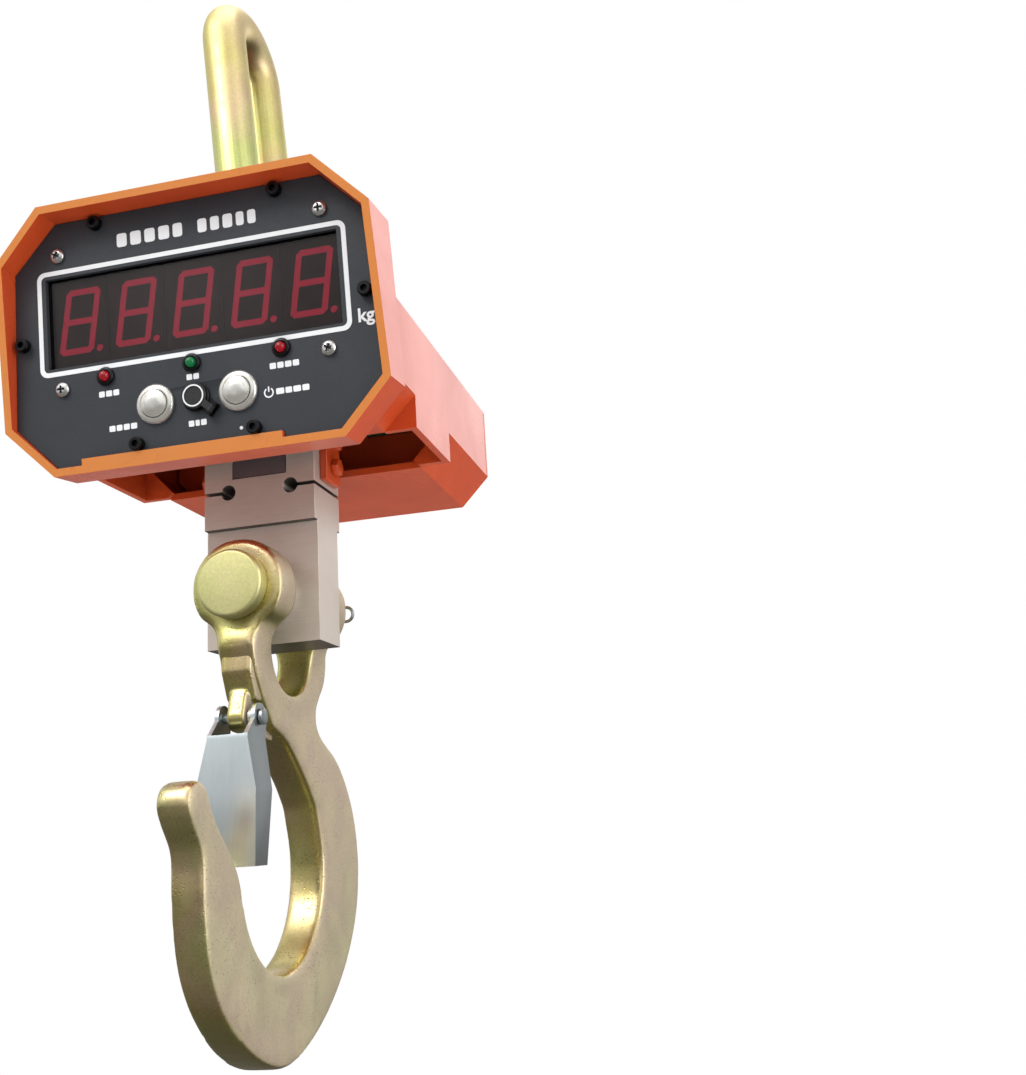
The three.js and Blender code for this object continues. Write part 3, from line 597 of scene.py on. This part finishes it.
def hook_outline():
    """The hook's side view: down the back, round the bowl to the tip, and up the throat to the fork."""
    return [
        *through(HOOK_BACK, 90),
        *arc(-102, -150, 10.5, math.pi * 1.1, math.pi * 0.05, 12),
        *through([(-85, -158), (-73, -170), (-64, -180)], 6),
        *arc(-11, -183, 49.5, math.pi * 1.03, math.pi * 2.09, 40),
        *through([(30, -151), (19, -139), (4, -126), (-9, -117), (-24, -112)], 10),
        (-36, -98),
        *through(HOOK_FRONT, 8),
        (-26, -50),
        *arc(0, -66, 26, math.pi, math.tau, 20),
        (26, -50),
    ]


def forged_skin(made, grain, rounds):
    """Melts a piece's parts into one skin and eases its edges, as forging does."""
    skin = made.modifiers.new("one_skin", "REMESH")
    skin.mode = "VOXEL"
    skin.voxel_size = grain * MM
    skin.use_smooth_shade = True
    ease = made.modifiers.new("eased_edges", "SMOOTH")
    ease.factor = 0.5
    ease.iterations = rounds


def narrow_tip(bm):
    """Forges the slab thinner from under the bowl to the tip."""
    for vert in bm.verts:
        reach = min(max((-vert.co.y - 30) / 55, 0), 1)
        amount = reach * reach * (3 - 2 * reach)
        vert.co.x = vert.co.x * (1 - TIP_SHARE * amount) + TIP_SHIFT * amount


def hook():
    """A forged clevis hook: a heavy hook body and ears, and the crisper lug that carries the latch."""
    slab = moved(soften(prism(hook_outline(), 2 * HOOK_HALF, -HOOK_HALF), 4.2, 3, 60), ALONG_X)
    narrow_tip(slab)
    ear_side = [(10.8, -74), (12, -64), (15, -58.5), (20, -55.6),
                *arc(0, LOWER_PIN_Z, 25.7, -math.pi * 0.215, math.pi * 1.215, 40),
                (-20, -55.6), (-15, -58.5), (-12, -64), (-10.8, -74)]
    ears = [moved(soften(prism(ear_side, 21, start), 5, 3, 60), ALONG_Y) for start in (-47, 26)]
    made = piece("hook_forging", merge(slab, *ears), CELL_FRAME, "hook_set", "zinc_gold", FORGED_ZINC,
                 ["hook"], 180)
    forged_skin(made, 1.4, 36)
    nub_side = [(-14, -118), (-41, -114), *arc(-42, -107, 7, -math.pi / 2, -math.pi * 1.15, 8), (-46, -96),
                (-40, -84), (-14, -92)]
    nub = moved(soften(prism(nub_side, 10, -5), 1.6, 2, 60), ALONG_X)
    shoulder_side = [(-20, -99), (-41, -99), (-48, -84), (-47, -68), (-22, -68)]
    shoulder = moved(soften(prism(shoulder_side, 17, -8.5), 2, 2, 40), ALONG_X)
    lug = piece("hook_latch_lug", merge(nub, shoulder), CELL_FRAME, "hook_set", "zinc_gold", FORGED_ZINC,
                (), 180)
    forged_skin(lug, 0.8, 8)


# ---- Pins, washers, latch spring ----
def pins():
    for name, z, front, back, tip in (("upper_pin", UPPER_PIN_Z, 47, 38.8, -52.5),
                                      ("lower_pin", LOWER_PIN_Z, 56, 47.3, -62)):
        shape = turned([(0, tip), (11.2, tip), (PIN_RADIUS, tip + 1.5), (PIN_RADIUS, back), (17.8, back),
                        (17.8, front - 1.4), (16.5, front), (0, front)], 64)
        soften(shape, 0.7, 3)
        stand_in(name, "_turned", about_y(shape, 0, z), CELL_FRAME, PIN_ZINC)
    for name, z, low, high, outer in (("upper_washer", UPPER_PIN_Z, -41, -38.8, 19),
                                      ("lower_washer", LOWER_PIN_Z, -50, -47.3, 18.5)):
        stand_in(name, "_turned", about_y(collar(outer, low, high, 0.4), 0, z), CELL_FRAME, BRIGHT_ZINC)
    for name, low, high in (("lower_spacer_front", 14.7, 25.7), ("lower_spacer_rear", -25.7, -14.7)):
        shape = about_y(collar(19, low, high, 0.5), 0, LOWER_PIN_Z)
        stand_in(name, "_turned", shape, CELL_FRAME, STAINLESS)


def curve_solid(curve):
    """The solid that a thick curve or a text makes."""
    holder = bpy.data.objects.new(curve.name, curve)
    bpy.context.scene.collection.objects.link(holder)
    mesh = bpy.data.meshes.new_from_object(holder.evaluated_get(bpy.context.evaluated_depsgraph_get()))
    bpy.data.objects.remove(holder)
    bm = bmesh.new()
    bm.from_mesh(mesh)
    bpy.data.meshes.remove(mesh)
    bmesh.ops.remove_doubles(bm, verts=bm.verts, dist=1e-4)
    return bm


def wire(points, radius, name, body, slot, material, stands_for):
    """A round wire along points, closed at its ends."""
    curve = bpy.data.curves.new(name, "CURVE")
    curve.dimensions = "3D"
    curve.bevel_depth = radius
    curve.bevel_resolution = 4
    curve.use_fill_caps = True
    spline = curve.splines.new("POLY")
    spline.points.add(len(points) - 1)
    for point, (x, y, z) in zip(spline.points, points):
        point.co = (x, y, z, 1)
    bm = curve_solid(curve)
    bmesh.ops.recalc_face_normals(bm, faces=bm.faces)
    return piece(name, bm, CELL_FRAME, body, slot, material, stands_for, 60)


def split_pins():
    """Split pins: an eye on one side and two legs spread on the other."""
    for name, y, z in (("upper_split_pin", 47.5, UPPER_PIN_Z), ("lower_split_pin", 56.5, LOWER_PIN_Z)):
        eye = [(20.5 + a, y, z + b) for a, b in arc(0, 0, 4.3, math.pi * 0.86, -math.pi * 0.86, 20)]
        upper = [(-18, y, z + 4.5), (-15.5, y, z + 1.4), (-12, y, z + 0.95), (15.4, y, z + 0.95)]
        lower = [(15.4, y, z - 0.95), (-12, y, z - 0.95), (-15.5, y, z - 1.4), (-18, y, z - 4.5)]
        wire([*upper, *eye, *lower], 0.95, name + "_wire", BODY_OF[name], SLOT_OF[name], BRIGHT_ZINC, [name])


def latch_spring():
    """The torsion spring round the latch's pin, with one leg down along the latch."""
    coil = []
    for i in range(97):
        turn = math.tau * i / 24
        coil.append((5.9 + 2.0 * i / 96, -42 + 4.2 * math.cos(turn), -107 + 4.2 * math.sin(turn)))
    leg = [(7.9, -44, -112), (7.9, -50, -124), (7.9, -53, -134)]
    wire([*coil, *leg], 0.55, "latch_spring_wire", "hook_set", "stainless", STAINLESS, ["latch_spring"])


# ---- Display ----
def elongated_hexagon(length, width, depth):
    """One bar of a seven-segment digit, pointed at both ends, along X."""
    bm = bmesh.new()
    bmesh.ops.create_circle(bm, cap_ends=True, segments=6, radius=width / 2 / math.cos(math.pi / 6))
    bmesh.ops.rotate(bm, cent=(0, 0, 0), matrix=Matrix.Rotation(math.pi / 6, 3, "Z"), verts=bm.verts)
    for side in (-1, 1):
        ends = [v for v in bm.verts if v.co.x * side > 1e-6]
        bmesh.ops.translate(bm, vec=(side * (length - width) / 2, 0, 0), verts=ends)
    return raise_faces(bm, depth)


DIGIT_PITCH = 31.9
DIGIT_FIRST = -63.8
DIGIT_MIDDLE = 1.0
MODULE_TOP = -5.6
SLANT = 0.17


def digits():
    """Five seven-segment digits, all bars lit dimly, each with its decimal point."""
    tall, wide, thick = 15.6, 16.4, 3.1
    upright = Matrix.Rotation(math.pi / 2, 4, "Z")
    slant = Matrix.Identity(4)
    slant[0][1] = SLANT
    for i in range(5):
        bars = []
        for height in (-tall, 0, tall):
            bars.append(moved(elongated_hexagon(wide + 0.6, thick, 0.3), Matrix.Translation((0, height, 0))))
        for across in (-wide / 2, wide / 2):
            for height in (-tall / 2, tall / 2):
                bars.append(moved(elongated_hexagon(tall + 0.8, thick, 0.3),
                                  Matrix.Translation((across, height, 0)) @ upright))
        dot = turned([(0, 0), (1.7, 0), (1.7, 0.3), (0, 0.3)], 20)
        whole = merge(*bars, moved(dot, Matrix.Translation((wide / 2 + 5, -tall, 0))))
        middle = Matrix.Translation((DIGIT_FIRST + DIGIT_PITCH * i, DIGIT_MIDDLE, MODULE_TOP + 0.03))
        piece(f"digit_bars_{i + 1}", whole, PANEL_FRAME @ middle @ slant, "scale_body", "display_module",
              SEGMENT_RED)


def display_surround():
    """The dark frame that closes the gap between the digit modules and the back of the panel."""
    outer = [(84, 28), (-84, 28), (-84, -28), (84, -28)]
    inner = [(79.9, 24.4), (-79.9, 24.4), (-79.9, -22.4), (79.9, -22.4)]
    ring = ring_between(outer, inner, 8)
    piece("display_surround", ring, on_panel(0, 0, -13), "scale_body", "display_module", MODULE_FACE)


def rounded_outline(half_width, half_height, corner, steps=6):
    """The outline of a rectangle with rounded corners."""
    points = []
    for quarter, (across, up) in enumerate(((1, 1), (-1, 1), (-1, -1), (1, -1))):
        centre = (across * (half_width - corner), up * (half_height - corner))
        points += arc(*centre, corner, quarter * math.pi / 2, (quarter + 1) * math.pi / 2, steps)
    return points


def ring_between(outer, inner, depth):
    """A flat ring between two outlines, raised along Z."""
    bm = bmesh.new()
    edges = []
    for outline in (outer, inner):
        corners = [bm.verts.new((a, b, 0)) for a, b in outline]
        edges += [bm.edges.new(run) for run in zip(corners, corners[1:] + corners[:1])]
    bmesh.ops.bridge_loops(bm, edges=edges)
    return raise_faces(bm, depth)


def block_word(widths, height, gap):
    """A plain stand-in for a printed word: a row of small solid blocks, centred."""
    total = sum(widths) + gap * (len(widths) - 1)
    blocks, left = [], -total / 2
    for width in widths:
        block = prism(rounded_outline(width / 2, height / 2, height * 0.18, 3), PRINT_DEPTH)
        blocks.append(moved(block, Matrix.Translation((left + width / 2, 0, 0))))
        left += width + gap
    return merge(*blocks)


def unit_mark(name, words, size, a, b, weight):
    """The unit of weight, printed beside the window."""
    text = bpy.data.curves.new(name, "FONT")
    text.body = words
    text.size = size
    text.align_x, text.align_y = "CENTER", "CENTER"
    text.offset = weight
    text.extrude = 0.04
    piece(name, curve_solid(text), on_panel(a, b, 0.06), "scale_body", "slate_panel", WHITE_INK)


def power_symbol():
    """A broken ring with a short stroke through its gap."""
    bow = arc(0, 0, 2.6, math.pi * 0.68, math.pi * 2.32, 20)
    inner = arc(0, 0, 1.9, math.pi * 2.32, math.pi * 0.68, 20)
    stroke = prism([(-0.35, 0.4), (0.35, 0.4), (0.35, 3.1), (-0.35, 3.1)], PRINT_DEPTH)
    return merge(prism(bow + inner, PRINT_DEPTH), stroke)


def panel_print():
    """The white line round the window and the plain marks that stand where words are printed."""
    ink = ("scale_body", "slate_panel", WHITE_INK)
    outline = ring_between(rounded_outline(84.8, 28.1, 4.5), rounded_outline(82.4, 25.7, 2.6), PRINT_DEPTH)
    piece("window_outline", outline, on_panel(0, 0.1, PRINT_HEIGHT), *ink)
    title = [(-20, (5.6, 6.0, 5.8, 6.0, 5.2)), (22.6, (4.9, 4.8, 5.2, 4.2, 4.4))]
    for i, (a, widths) in enumerate(title):
        piece(f"title_blocks_{i + 1}", block_word(widths, 7.2, 2.0), on_panel(a, 38.3, PRINT_HEIGHT), *ink)
    marks = (("left_lamp", -46.5, -41, (3.2, 3.4, 3.2)), ("centre_lamp", -0.3, -39, (3.0, 3.0)),
             ("right_lamp", 48.5, -40, (3.3, 3.3, 3.4, 3.3)), ("recall", -39.5, -59.5, (3.3, 3.2, 3.3, 3.4)),
             ("jack", 1, -62.8, (3.0, 2.2, 3.0)))
    for name, a, b, widths in marks:
        piece(name + "_blocks", block_word(widths, 3.0, 0.7), on_panel(a, b, PRINT_HEIGHT), *ink)
    blocks = block_word((4.2, 3.4, 4.0, 3.6), 3.0, 0.7)
    piece("power_blocks", blocks, on_panel(52, -53, PRINT_HEIGHT), *ink)
    piece("power_symbol", power_symbol(), on_panel(39.5, -53, PRINT_HEIGHT), *ink)
    unit_mark("unit_print", "kg", 9.5, 92, -22, 0.22)
    dot = turned([(0, 0), (0.9, 0), (0.9, PRINT_DEPTH), (0, PRINT_DEPTH)], 16)
    piece("panel_dot", dot, on_panel(24, -68.5, PRINT_HEIGHT), *ink)


# ---- Controls and fasteners on the panel ----
LAMPS = (("left", -47.8, -32, RED_LENS), ("centre", -0.3, -32, GREEN_LENS), ("right", 47.6, -31.5, RED_LENS))
BUTTONS = (("recall_button", -21, -50.3), ("power_button", 23.6, -49.8))
JACK = (1, -49.7)
JACK_TURN = math.radians(-39.8)
SOCKET_SCREWS = (("top", 49.6, 49.2), ("side", 93.1, -9.5), ("bottom", 31.5, -69.5))


def lamps():
    for side, a, b, glass in LAMPS:
        holder = turned([(2.9, -6), (3.8, -6), (3.8, 0.3), (4.8, 0.3), (4.8, 1.0), (4.3, 1.7), (3.4, 1.9),
                         (2.9, 1.5)], 40, closed=True)
        piece(f"led_holder_{side}_turned", holder, on_panel(a, b), "scale_body", "black_steel", BLACK_OXIDE,
              [f"led_holder_{side}"])
        dome = [(2.6 * math.cos(t), 1.8 + 2.6 * math.sin(t)) for t in [math.pi / 2 * i / 8 for i in range(9)]]
        bulb = turned([(0, -9), (2.6, -9), *dome[:-1], (0, 4.4)], 40)
        stand_in(f"led_{side}", "_turned", bulb, on_panel(a, b), glass)


def buttons():
    for name, a, b in BUTTONS:
        rim = turned([(7.3, -16), (8, -16), (8, 0.3), (10.2, 0.3), (10.2, 1.0), (9.6, 1.9), (8.6, 2.5),
                      (7.7, 2.6), (7.3, 2.2)], 64, closed=True)
        piece(name + "_rim", rim, on_panel(a, b), "scale_body", "stainless", STAINLESS, [name + "_body"])
        cap = turned([(0, -8), (7, -8), (7, 2.5), (6.85, 3.1), (6.3, 3.5), (5.4, 3.6), (5.0, 3.9),
                      (3.6, 4.35), (1.8, 4.55), (0, 4.6)], 64)
        piece(name + "_dome", cap, on_panel(a, b), name, "stainless", STAINLESS, [name + "_cap"])


def charging_jack():
    a, b = JACK
    barrel = turned([(3.2, -13), (5.9, -13), (5.9, 0.3), (7.3, 0.3), (7.3, 1.2), (6.9, 1.6), (3.2, 1.6)], 48,
                    closed=True)
    turn = Matrix.Rotation(JACK_TURN, 4, "Z")
    base = moved(rounded_plate(3.8, 3.6, 1.2, 0.7, 0.3), turn @ Matrix.Translation((9.8, 0, 0)))
    lugs = [moved(rounded_plate(1.8, 0.6, 0.3, 3.9, 0.3, 3), turn @ Matrix.Translation((11.8, side * 3, 0)))
            for side in (-1, 1)]
    piece("charge_jack_barrel", merge(barrel, base, *lugs), on_panel(a, b), "scale_body", "black_steel",
          BLACK_OXIDE, ["charge_jack"])
    disc = turned([(0, 0.4), (2.8, 0.4), (2.8, 2.2), (6.6, 2.2), (6.6, 3.0), (6.1, 3.6), (4.6, 3.6),
                   (4.4, 3.3), (0, 3.3)], 48)
    arm = moved(rounded_plate(5.9, 1.8, 0.8, 1.2, 2.2), turn @ Matrix.Translation((6, 0, 0)))
    knuckle = turned([(0, -2.1), (1.4, -2.1), (1.4, 2.1), (0, 2.1)], 24)
    knuckle = moved(knuckle, turn @ Matrix.Translation((11.7, 0, 2.7)) @ Matrix.Rotation(math.pi / 2, 4, "X"))
    piece("jack_cap_flap", merge(disc, arm, knuckle), on_panel(a, b), "charge_cap", "rubber", RUBBER,
          ["jack_cap"])
    ring = turned([(4.9, 3.55), (5.6, 3.55), (5.6, 3.68), (4.9, 3.68)], 48, closed=True)
    piece("jack_cap_ring", ring, on_panel(a, b), "charge_cap", "rubber", WHITE_INK)


def socket_screw():
    """A socket-head screw with a twelve-sided recess, seat at height 0."""
    bm = bmesh.new()
    rim = bmesh.ops.create_circle(bm, cap_ends=False, segments=48, radius=3.0)["verts"]
    recess = bmesh.ops.create_circle(bm, cap_ends=False, segments=12, radius=1.75)["verts"]
    bmesh.ops.translate(bm, vec=(0, 0, 4.1), verts=rim + recess)
    inner = [e for e in bm.edges if e.verts[0] in recess]
    outer = [e for e in bm.edges if e.verts[0] in rim]
    bmesh.ops.bridge_loops(bm, edges=inner + outer)
    bmesh.ops.contextual_create(bm, geom=extend(bm, inner, -2.2))
    for radius, height in ((3.4, -0.3), (3.6, -0.5), (3.6, -2.8), (3.3, -0.3), (1.9, 0), (1.9, -10.2)):
        grown = bmesh.ops.extrude_edge_only(bm, edges=outer)["geom"]
        ends = verts_of(grown)
        now = ends[0].co.to_2d().length
        bmesh.ops.scale(bm, vec=(radius / now, radius / now, 1), verts=ends)
        bmesh.ops.translate(bm, vec=(0, 0, height), verts=ends)
        outer = edges_of(grown)
    bmesh.ops.contextual_create(bm, geom=outer)
    bmesh.ops.recalc_face_normals(bm, faces=bm.faces)
    return bm


def panel_screws():
    for spot, a, b in SOCKET_SCREWS:
        for side, sign in (("left", -1), ("right", 1)):
            node = f"panel_screw_{spot}_{side}"
            piece(node + "_socket", socket_screw(), on_panel(sign * a, b), "scale_body", "black_steel",
                  BLACK_OXIDE, [node], 30)
    for spot, b in (("top", 35.6), ("bottom", -35.6)):
        for side, sign in (("left", -1), ("right", 1)):
            eased_copy(f"display_screw_{spot}_{side}", 0.25, WHITE_PLATE, 2, 30, 45)


def rear_screws():
    """Countersunk screws round the rear cover."""
    spots = [(58, 143), (-58, 143), (90, 96), (-90, 96), (90, 58), (-90, 58), (70, 43), (-70, 43)]
    back = Matrix.Rotation(-math.pi / 2, 4, "X")
    profile = [(0, -3), (2, -3), (3.6, 0.0), (3.6, 0.25), (2.9, 0.6), (1.2, 0.75), (0, 0.75)]
    heads = [moved(turned(profile, 28), Matrix.Translation((x, 122, z)) @ back) for x, z in spots]
    piece("rear_cover_screws", merge(*heads), CELL_FRAME, "scale_body", "black_steel", BLACK_OXIDE)


def bulkhead():
    """A painted wall across the casing, in front of the battery."""
    half = [(76, 42.5), (91, 58), (91, 98), (64, 145)]
    wall = prism(half + [(-a, b) for a, b in reversed(half)], 2.4, -62.6)
    piece("battery_wall", moved(wall, ALONG_Y), CELL_FRAME, "scale_body", "orange_paint", ENAMEL)


def height_on_panel(node):
    """How far a CAD node stands out of the panel, in millimetres."""
    out = PANEL_FRAME.inverted()
    return max((out @ v.co).z for v in frame["nodes"][node].data.vertices)


def screw_recess_shade():
    """The dark cross in each white display screw: two thin dark bars laid on the head, painted shade that
    stands for the shaded cross recess.
    """
    for spot, b in (("top", 35.6), ("bottom", -35.6)):
        for side, sign in (("left", -1), ("right", 1)):
            top = height_on_panel(f"display_screw_{spot}_{side}")
            turn = Matrix.Rotation(0.5 + b * sign, 4, "Z")
            # The bars are painted shade in place of a cut recess.
            bars = [moved(prism(rounded_outline(2.1, 0.45, 0.2, 3), 0.1), Matrix.Rotation(angle, 4, "Z"))
                    for angle in (0, math.pi / 2)]
            piece(f"display_screw_{spot}_{side}_cross", merge(*bars), on_panel(sign * 72.2, b, top) @ turn,
                  "scale_body", "white_zinc", BLACK_OXIDE)


# ---- Everything, in order ----
EYE = (279.93, -585.80, -487.17)
EYE_TURN, EYE_RISE, EYE_ROLL = 0.2108, 0.2496, -0.0651
SENSOR_WIDTH = 36
FOCAL_SHARE = 1160.473 / 1075  # focal length over sensor width
FLOOR_COLOUR = (0.80, 0.80, 0.795)


def dress_nodes():
    eased_copy("load_cell", 0.3, NICKEL, 2, 25)
    eased_copy("casing", 1.1, ENAMEL, 3, 20)
    eased_copy("front_bezel", 1.0, LIP_ENAMEL, 3, 20)
    eased_copy("rear_cover", 0.9, ENAMEL, 3, 20)
    eased_copy("front_panel", 0.35, PANEL_FILM, 2, 25)
    eased_copy("latch", 0.95, BRIGHT_ZINC, 4, 30, 50, 1)
    eased_copy("latch_pin", 0.4, BRIGHT_ZINC, 2, 30)
    eased_copy("slot_trim", 0.6, RUBBER, 3, 25)
    eased_copy("battery", 3.0, CELL_SLEEVE, 4, 25)
    eased_copy("battery_strap", 0.4, STAINLESS, 2, 25)
    for side in ("left", "right"):
        eased_copy(f"cell_bracket_{side}", 0.4, ENAMEL, 2, 25)
        for i in (1, 2):
            eased_copy(f"bracket_bolt_{side}_{i}", 0.3, ENAMEL, 2, 25)
    paint_node(SMOKED, "display_window")
    paint_node(POTTING, "gauge_cover_front", "gauge_cover_rear")
    paint_node(MODULE_FACE, *(f"digit_{i}" for i in range(1, 6)))
    paint_node(BOARD_MASK, "display_board", "main_board")
    paint_node(RUBBER, "cell_cable")


def camera():
    """The camera, below the display and to its right, looking up a little."""
    turn, rise, roll = EYE_TURN, EYE_RISE, EYE_ROLL
    ahead = Vector((-math.sin(turn) * math.cos(rise), math.cos(turn) * math.cos(rise), math.sin(rise)))
    level = Vector((math.cos(turn), math.sin(turn), 0))
    over = level.cross(ahead)
    right = math.cos(roll) * level + math.sin(roll) * over
    up = -math.sin(roll) * level + math.cos(roll) * over
    data = bpy.data.cameras.new("camera")
    data.sensor_width = SENSOR_WIDTH
    data.lens = SENSOR_WIDTH * FOCAL_SHARE
    made = bpy.data.objects.new("camera", data)
    axes = Matrix((right, up, -ahead)).transposed().to_4x4()
    made.matrix_world = Matrix.Translation(Vector(EYE) * MM) @ axes
    bpy.context.scene.collection.objects.link(made)
    bpy.context.scene.camera = made


def softbox(name, at, toward, size, power):
    data = bpy.data.lights.new(name, "AREA")
    data.shape = "RECTANGLE"
    data.size, data.size_y = size
    data.energy = power
    made = bpy.data.objects.new(name, data)
    made.location = at
    made.rotation_mode = "QUATERNION"
    made.rotation_quaternion = (Vector(toward) - Vector(at)).to_track_quat("-Z", "Y")
    bpy.context.scene.collection.objects.link(made)


def pale_floor():
    """A plain pale floor that fades into the white beyond it."""
    bm = bmesh.new()
    bmesh.ops.create_grid(bm, x_segments=1, y_segments=1, size=8)
    bmesh.ops.translate(bm, vec=(0, 0, FLOOR_Z), verts=bm.verts)
    mesh = bpy.data.meshes.new("floor")
    bm.to_mesh(mesh)
    bm.free()
    material, tree, shader = finish_of("pale_floor", FLOOR_COLOUR, 0.85)
    place = add(tree, "TexCoord")
    spot = add(tree, "VectorMath", {"operation": "MULTIPLY"}, i0=place.outputs["Object"], i1=(1, 1, 0))
    reach = add(tree, "VectorMath", {"operation": "LENGTH"}, i0=spot.outputs[0])
    far = smooth_range(tree, reach.outputs["Value"], 0.5, 1.5)
    path = add(tree, "LightPath")
    shade = mix_colours(tree, path.outputs["Is Glossy Ray"], (*FLOOR_COLOUR, 1), (0.13, 0.125, 0.11, 1))
    tree.links.new(shade, shader.inputs["Base Color"])
    white = add(tree, "Emission", {}, Color=(1, 1, 1, 1), Strength=1.0)
    seen = math_node(tree, "MULTIPLY", far, path.outputs["Is Camera Ray"])
    blend = add(tree, "MixShader", {}, Fac=seen)
    tree.links.new(shader.outputs[0], blend.inputs[1])
    tree.links.new(white.outputs[0], blend.inputs[2])
    tree.links.new(blend.outputs[0], tree.nodes["Material Output"].inputs[0])
    mesh.materials.append(material)
    floor = bpy.data.objects.new("floor", mesh)
    bpy.context.scene.collection.objects.link(floor)


def studio():
    middle = (0.0, 0.0, -0.28)
    softbox("key_left", (-0.8, -1.5, 1.35), middle, (1.1, 1.0), 24)
    softbox("side_right", (1.6, -0.5, -0.1), middle, (0.7, 1.6), 12)
    softbox("rear_high", (0.75, 1.9, 0.75), (0.1, 0.0, -0.2), (1.3, 1.1), 3.8)
    softbox("top", (0.1, -0.1, 1.5), middle, (1.3, 1.3), 12)
    pale_floor()
    world = bpy.data.worlds.new("studio")
    bpy.context.scene.world = world
    world.use_nodes = True
    tree = world.node_tree
    place = add(tree, "TexCoord")
    split = add(tree, "SeparateXYZ", {}, Vector=place.outputs["Generated"])
    depth = smooth_range(tree, split.outputs[1], -0.7, 0.3, 1.0, 0.85)
    height = smooth_range(tree, split.outputs[2], -0.1, 0.7, 0.7, 1.25)
    cloud = add(tree, "TexNoise", {}, Vector=place.outputs["Generated"], Scale=2.6, Detail=1.5)
    patch = smooth_range(tree, cloud.outputs[0], 0.38, 0.62, 0.45, 1.2)
    room = math_node(tree, "MULTIPLY", math_node(tree, "MULTIPLY", depth, height), patch)
    path = add(tree, "LightPath")
    seen = mix_colours(tree, path.outputs["Is Camera Ray"], room, (1.0, 1.0, 1.0, 1))
    tree.links.new(seen, tree.nodes["Background"].inputs[0])
    bpy.context.scene.view_settings.view_transform = "Standard"


def build():
    shackle()
    hook()
    pins()
    split_pins()
    latch_spring()
    digits()
    display_surround()
    panel_print()
    lamps()
    buttons()
    charging_jack()
    panel_screws()
    rear_screws()
    screw_recess_shade()
    bulkhead()
    dress_nodes()
    camera()
    studio()


build()
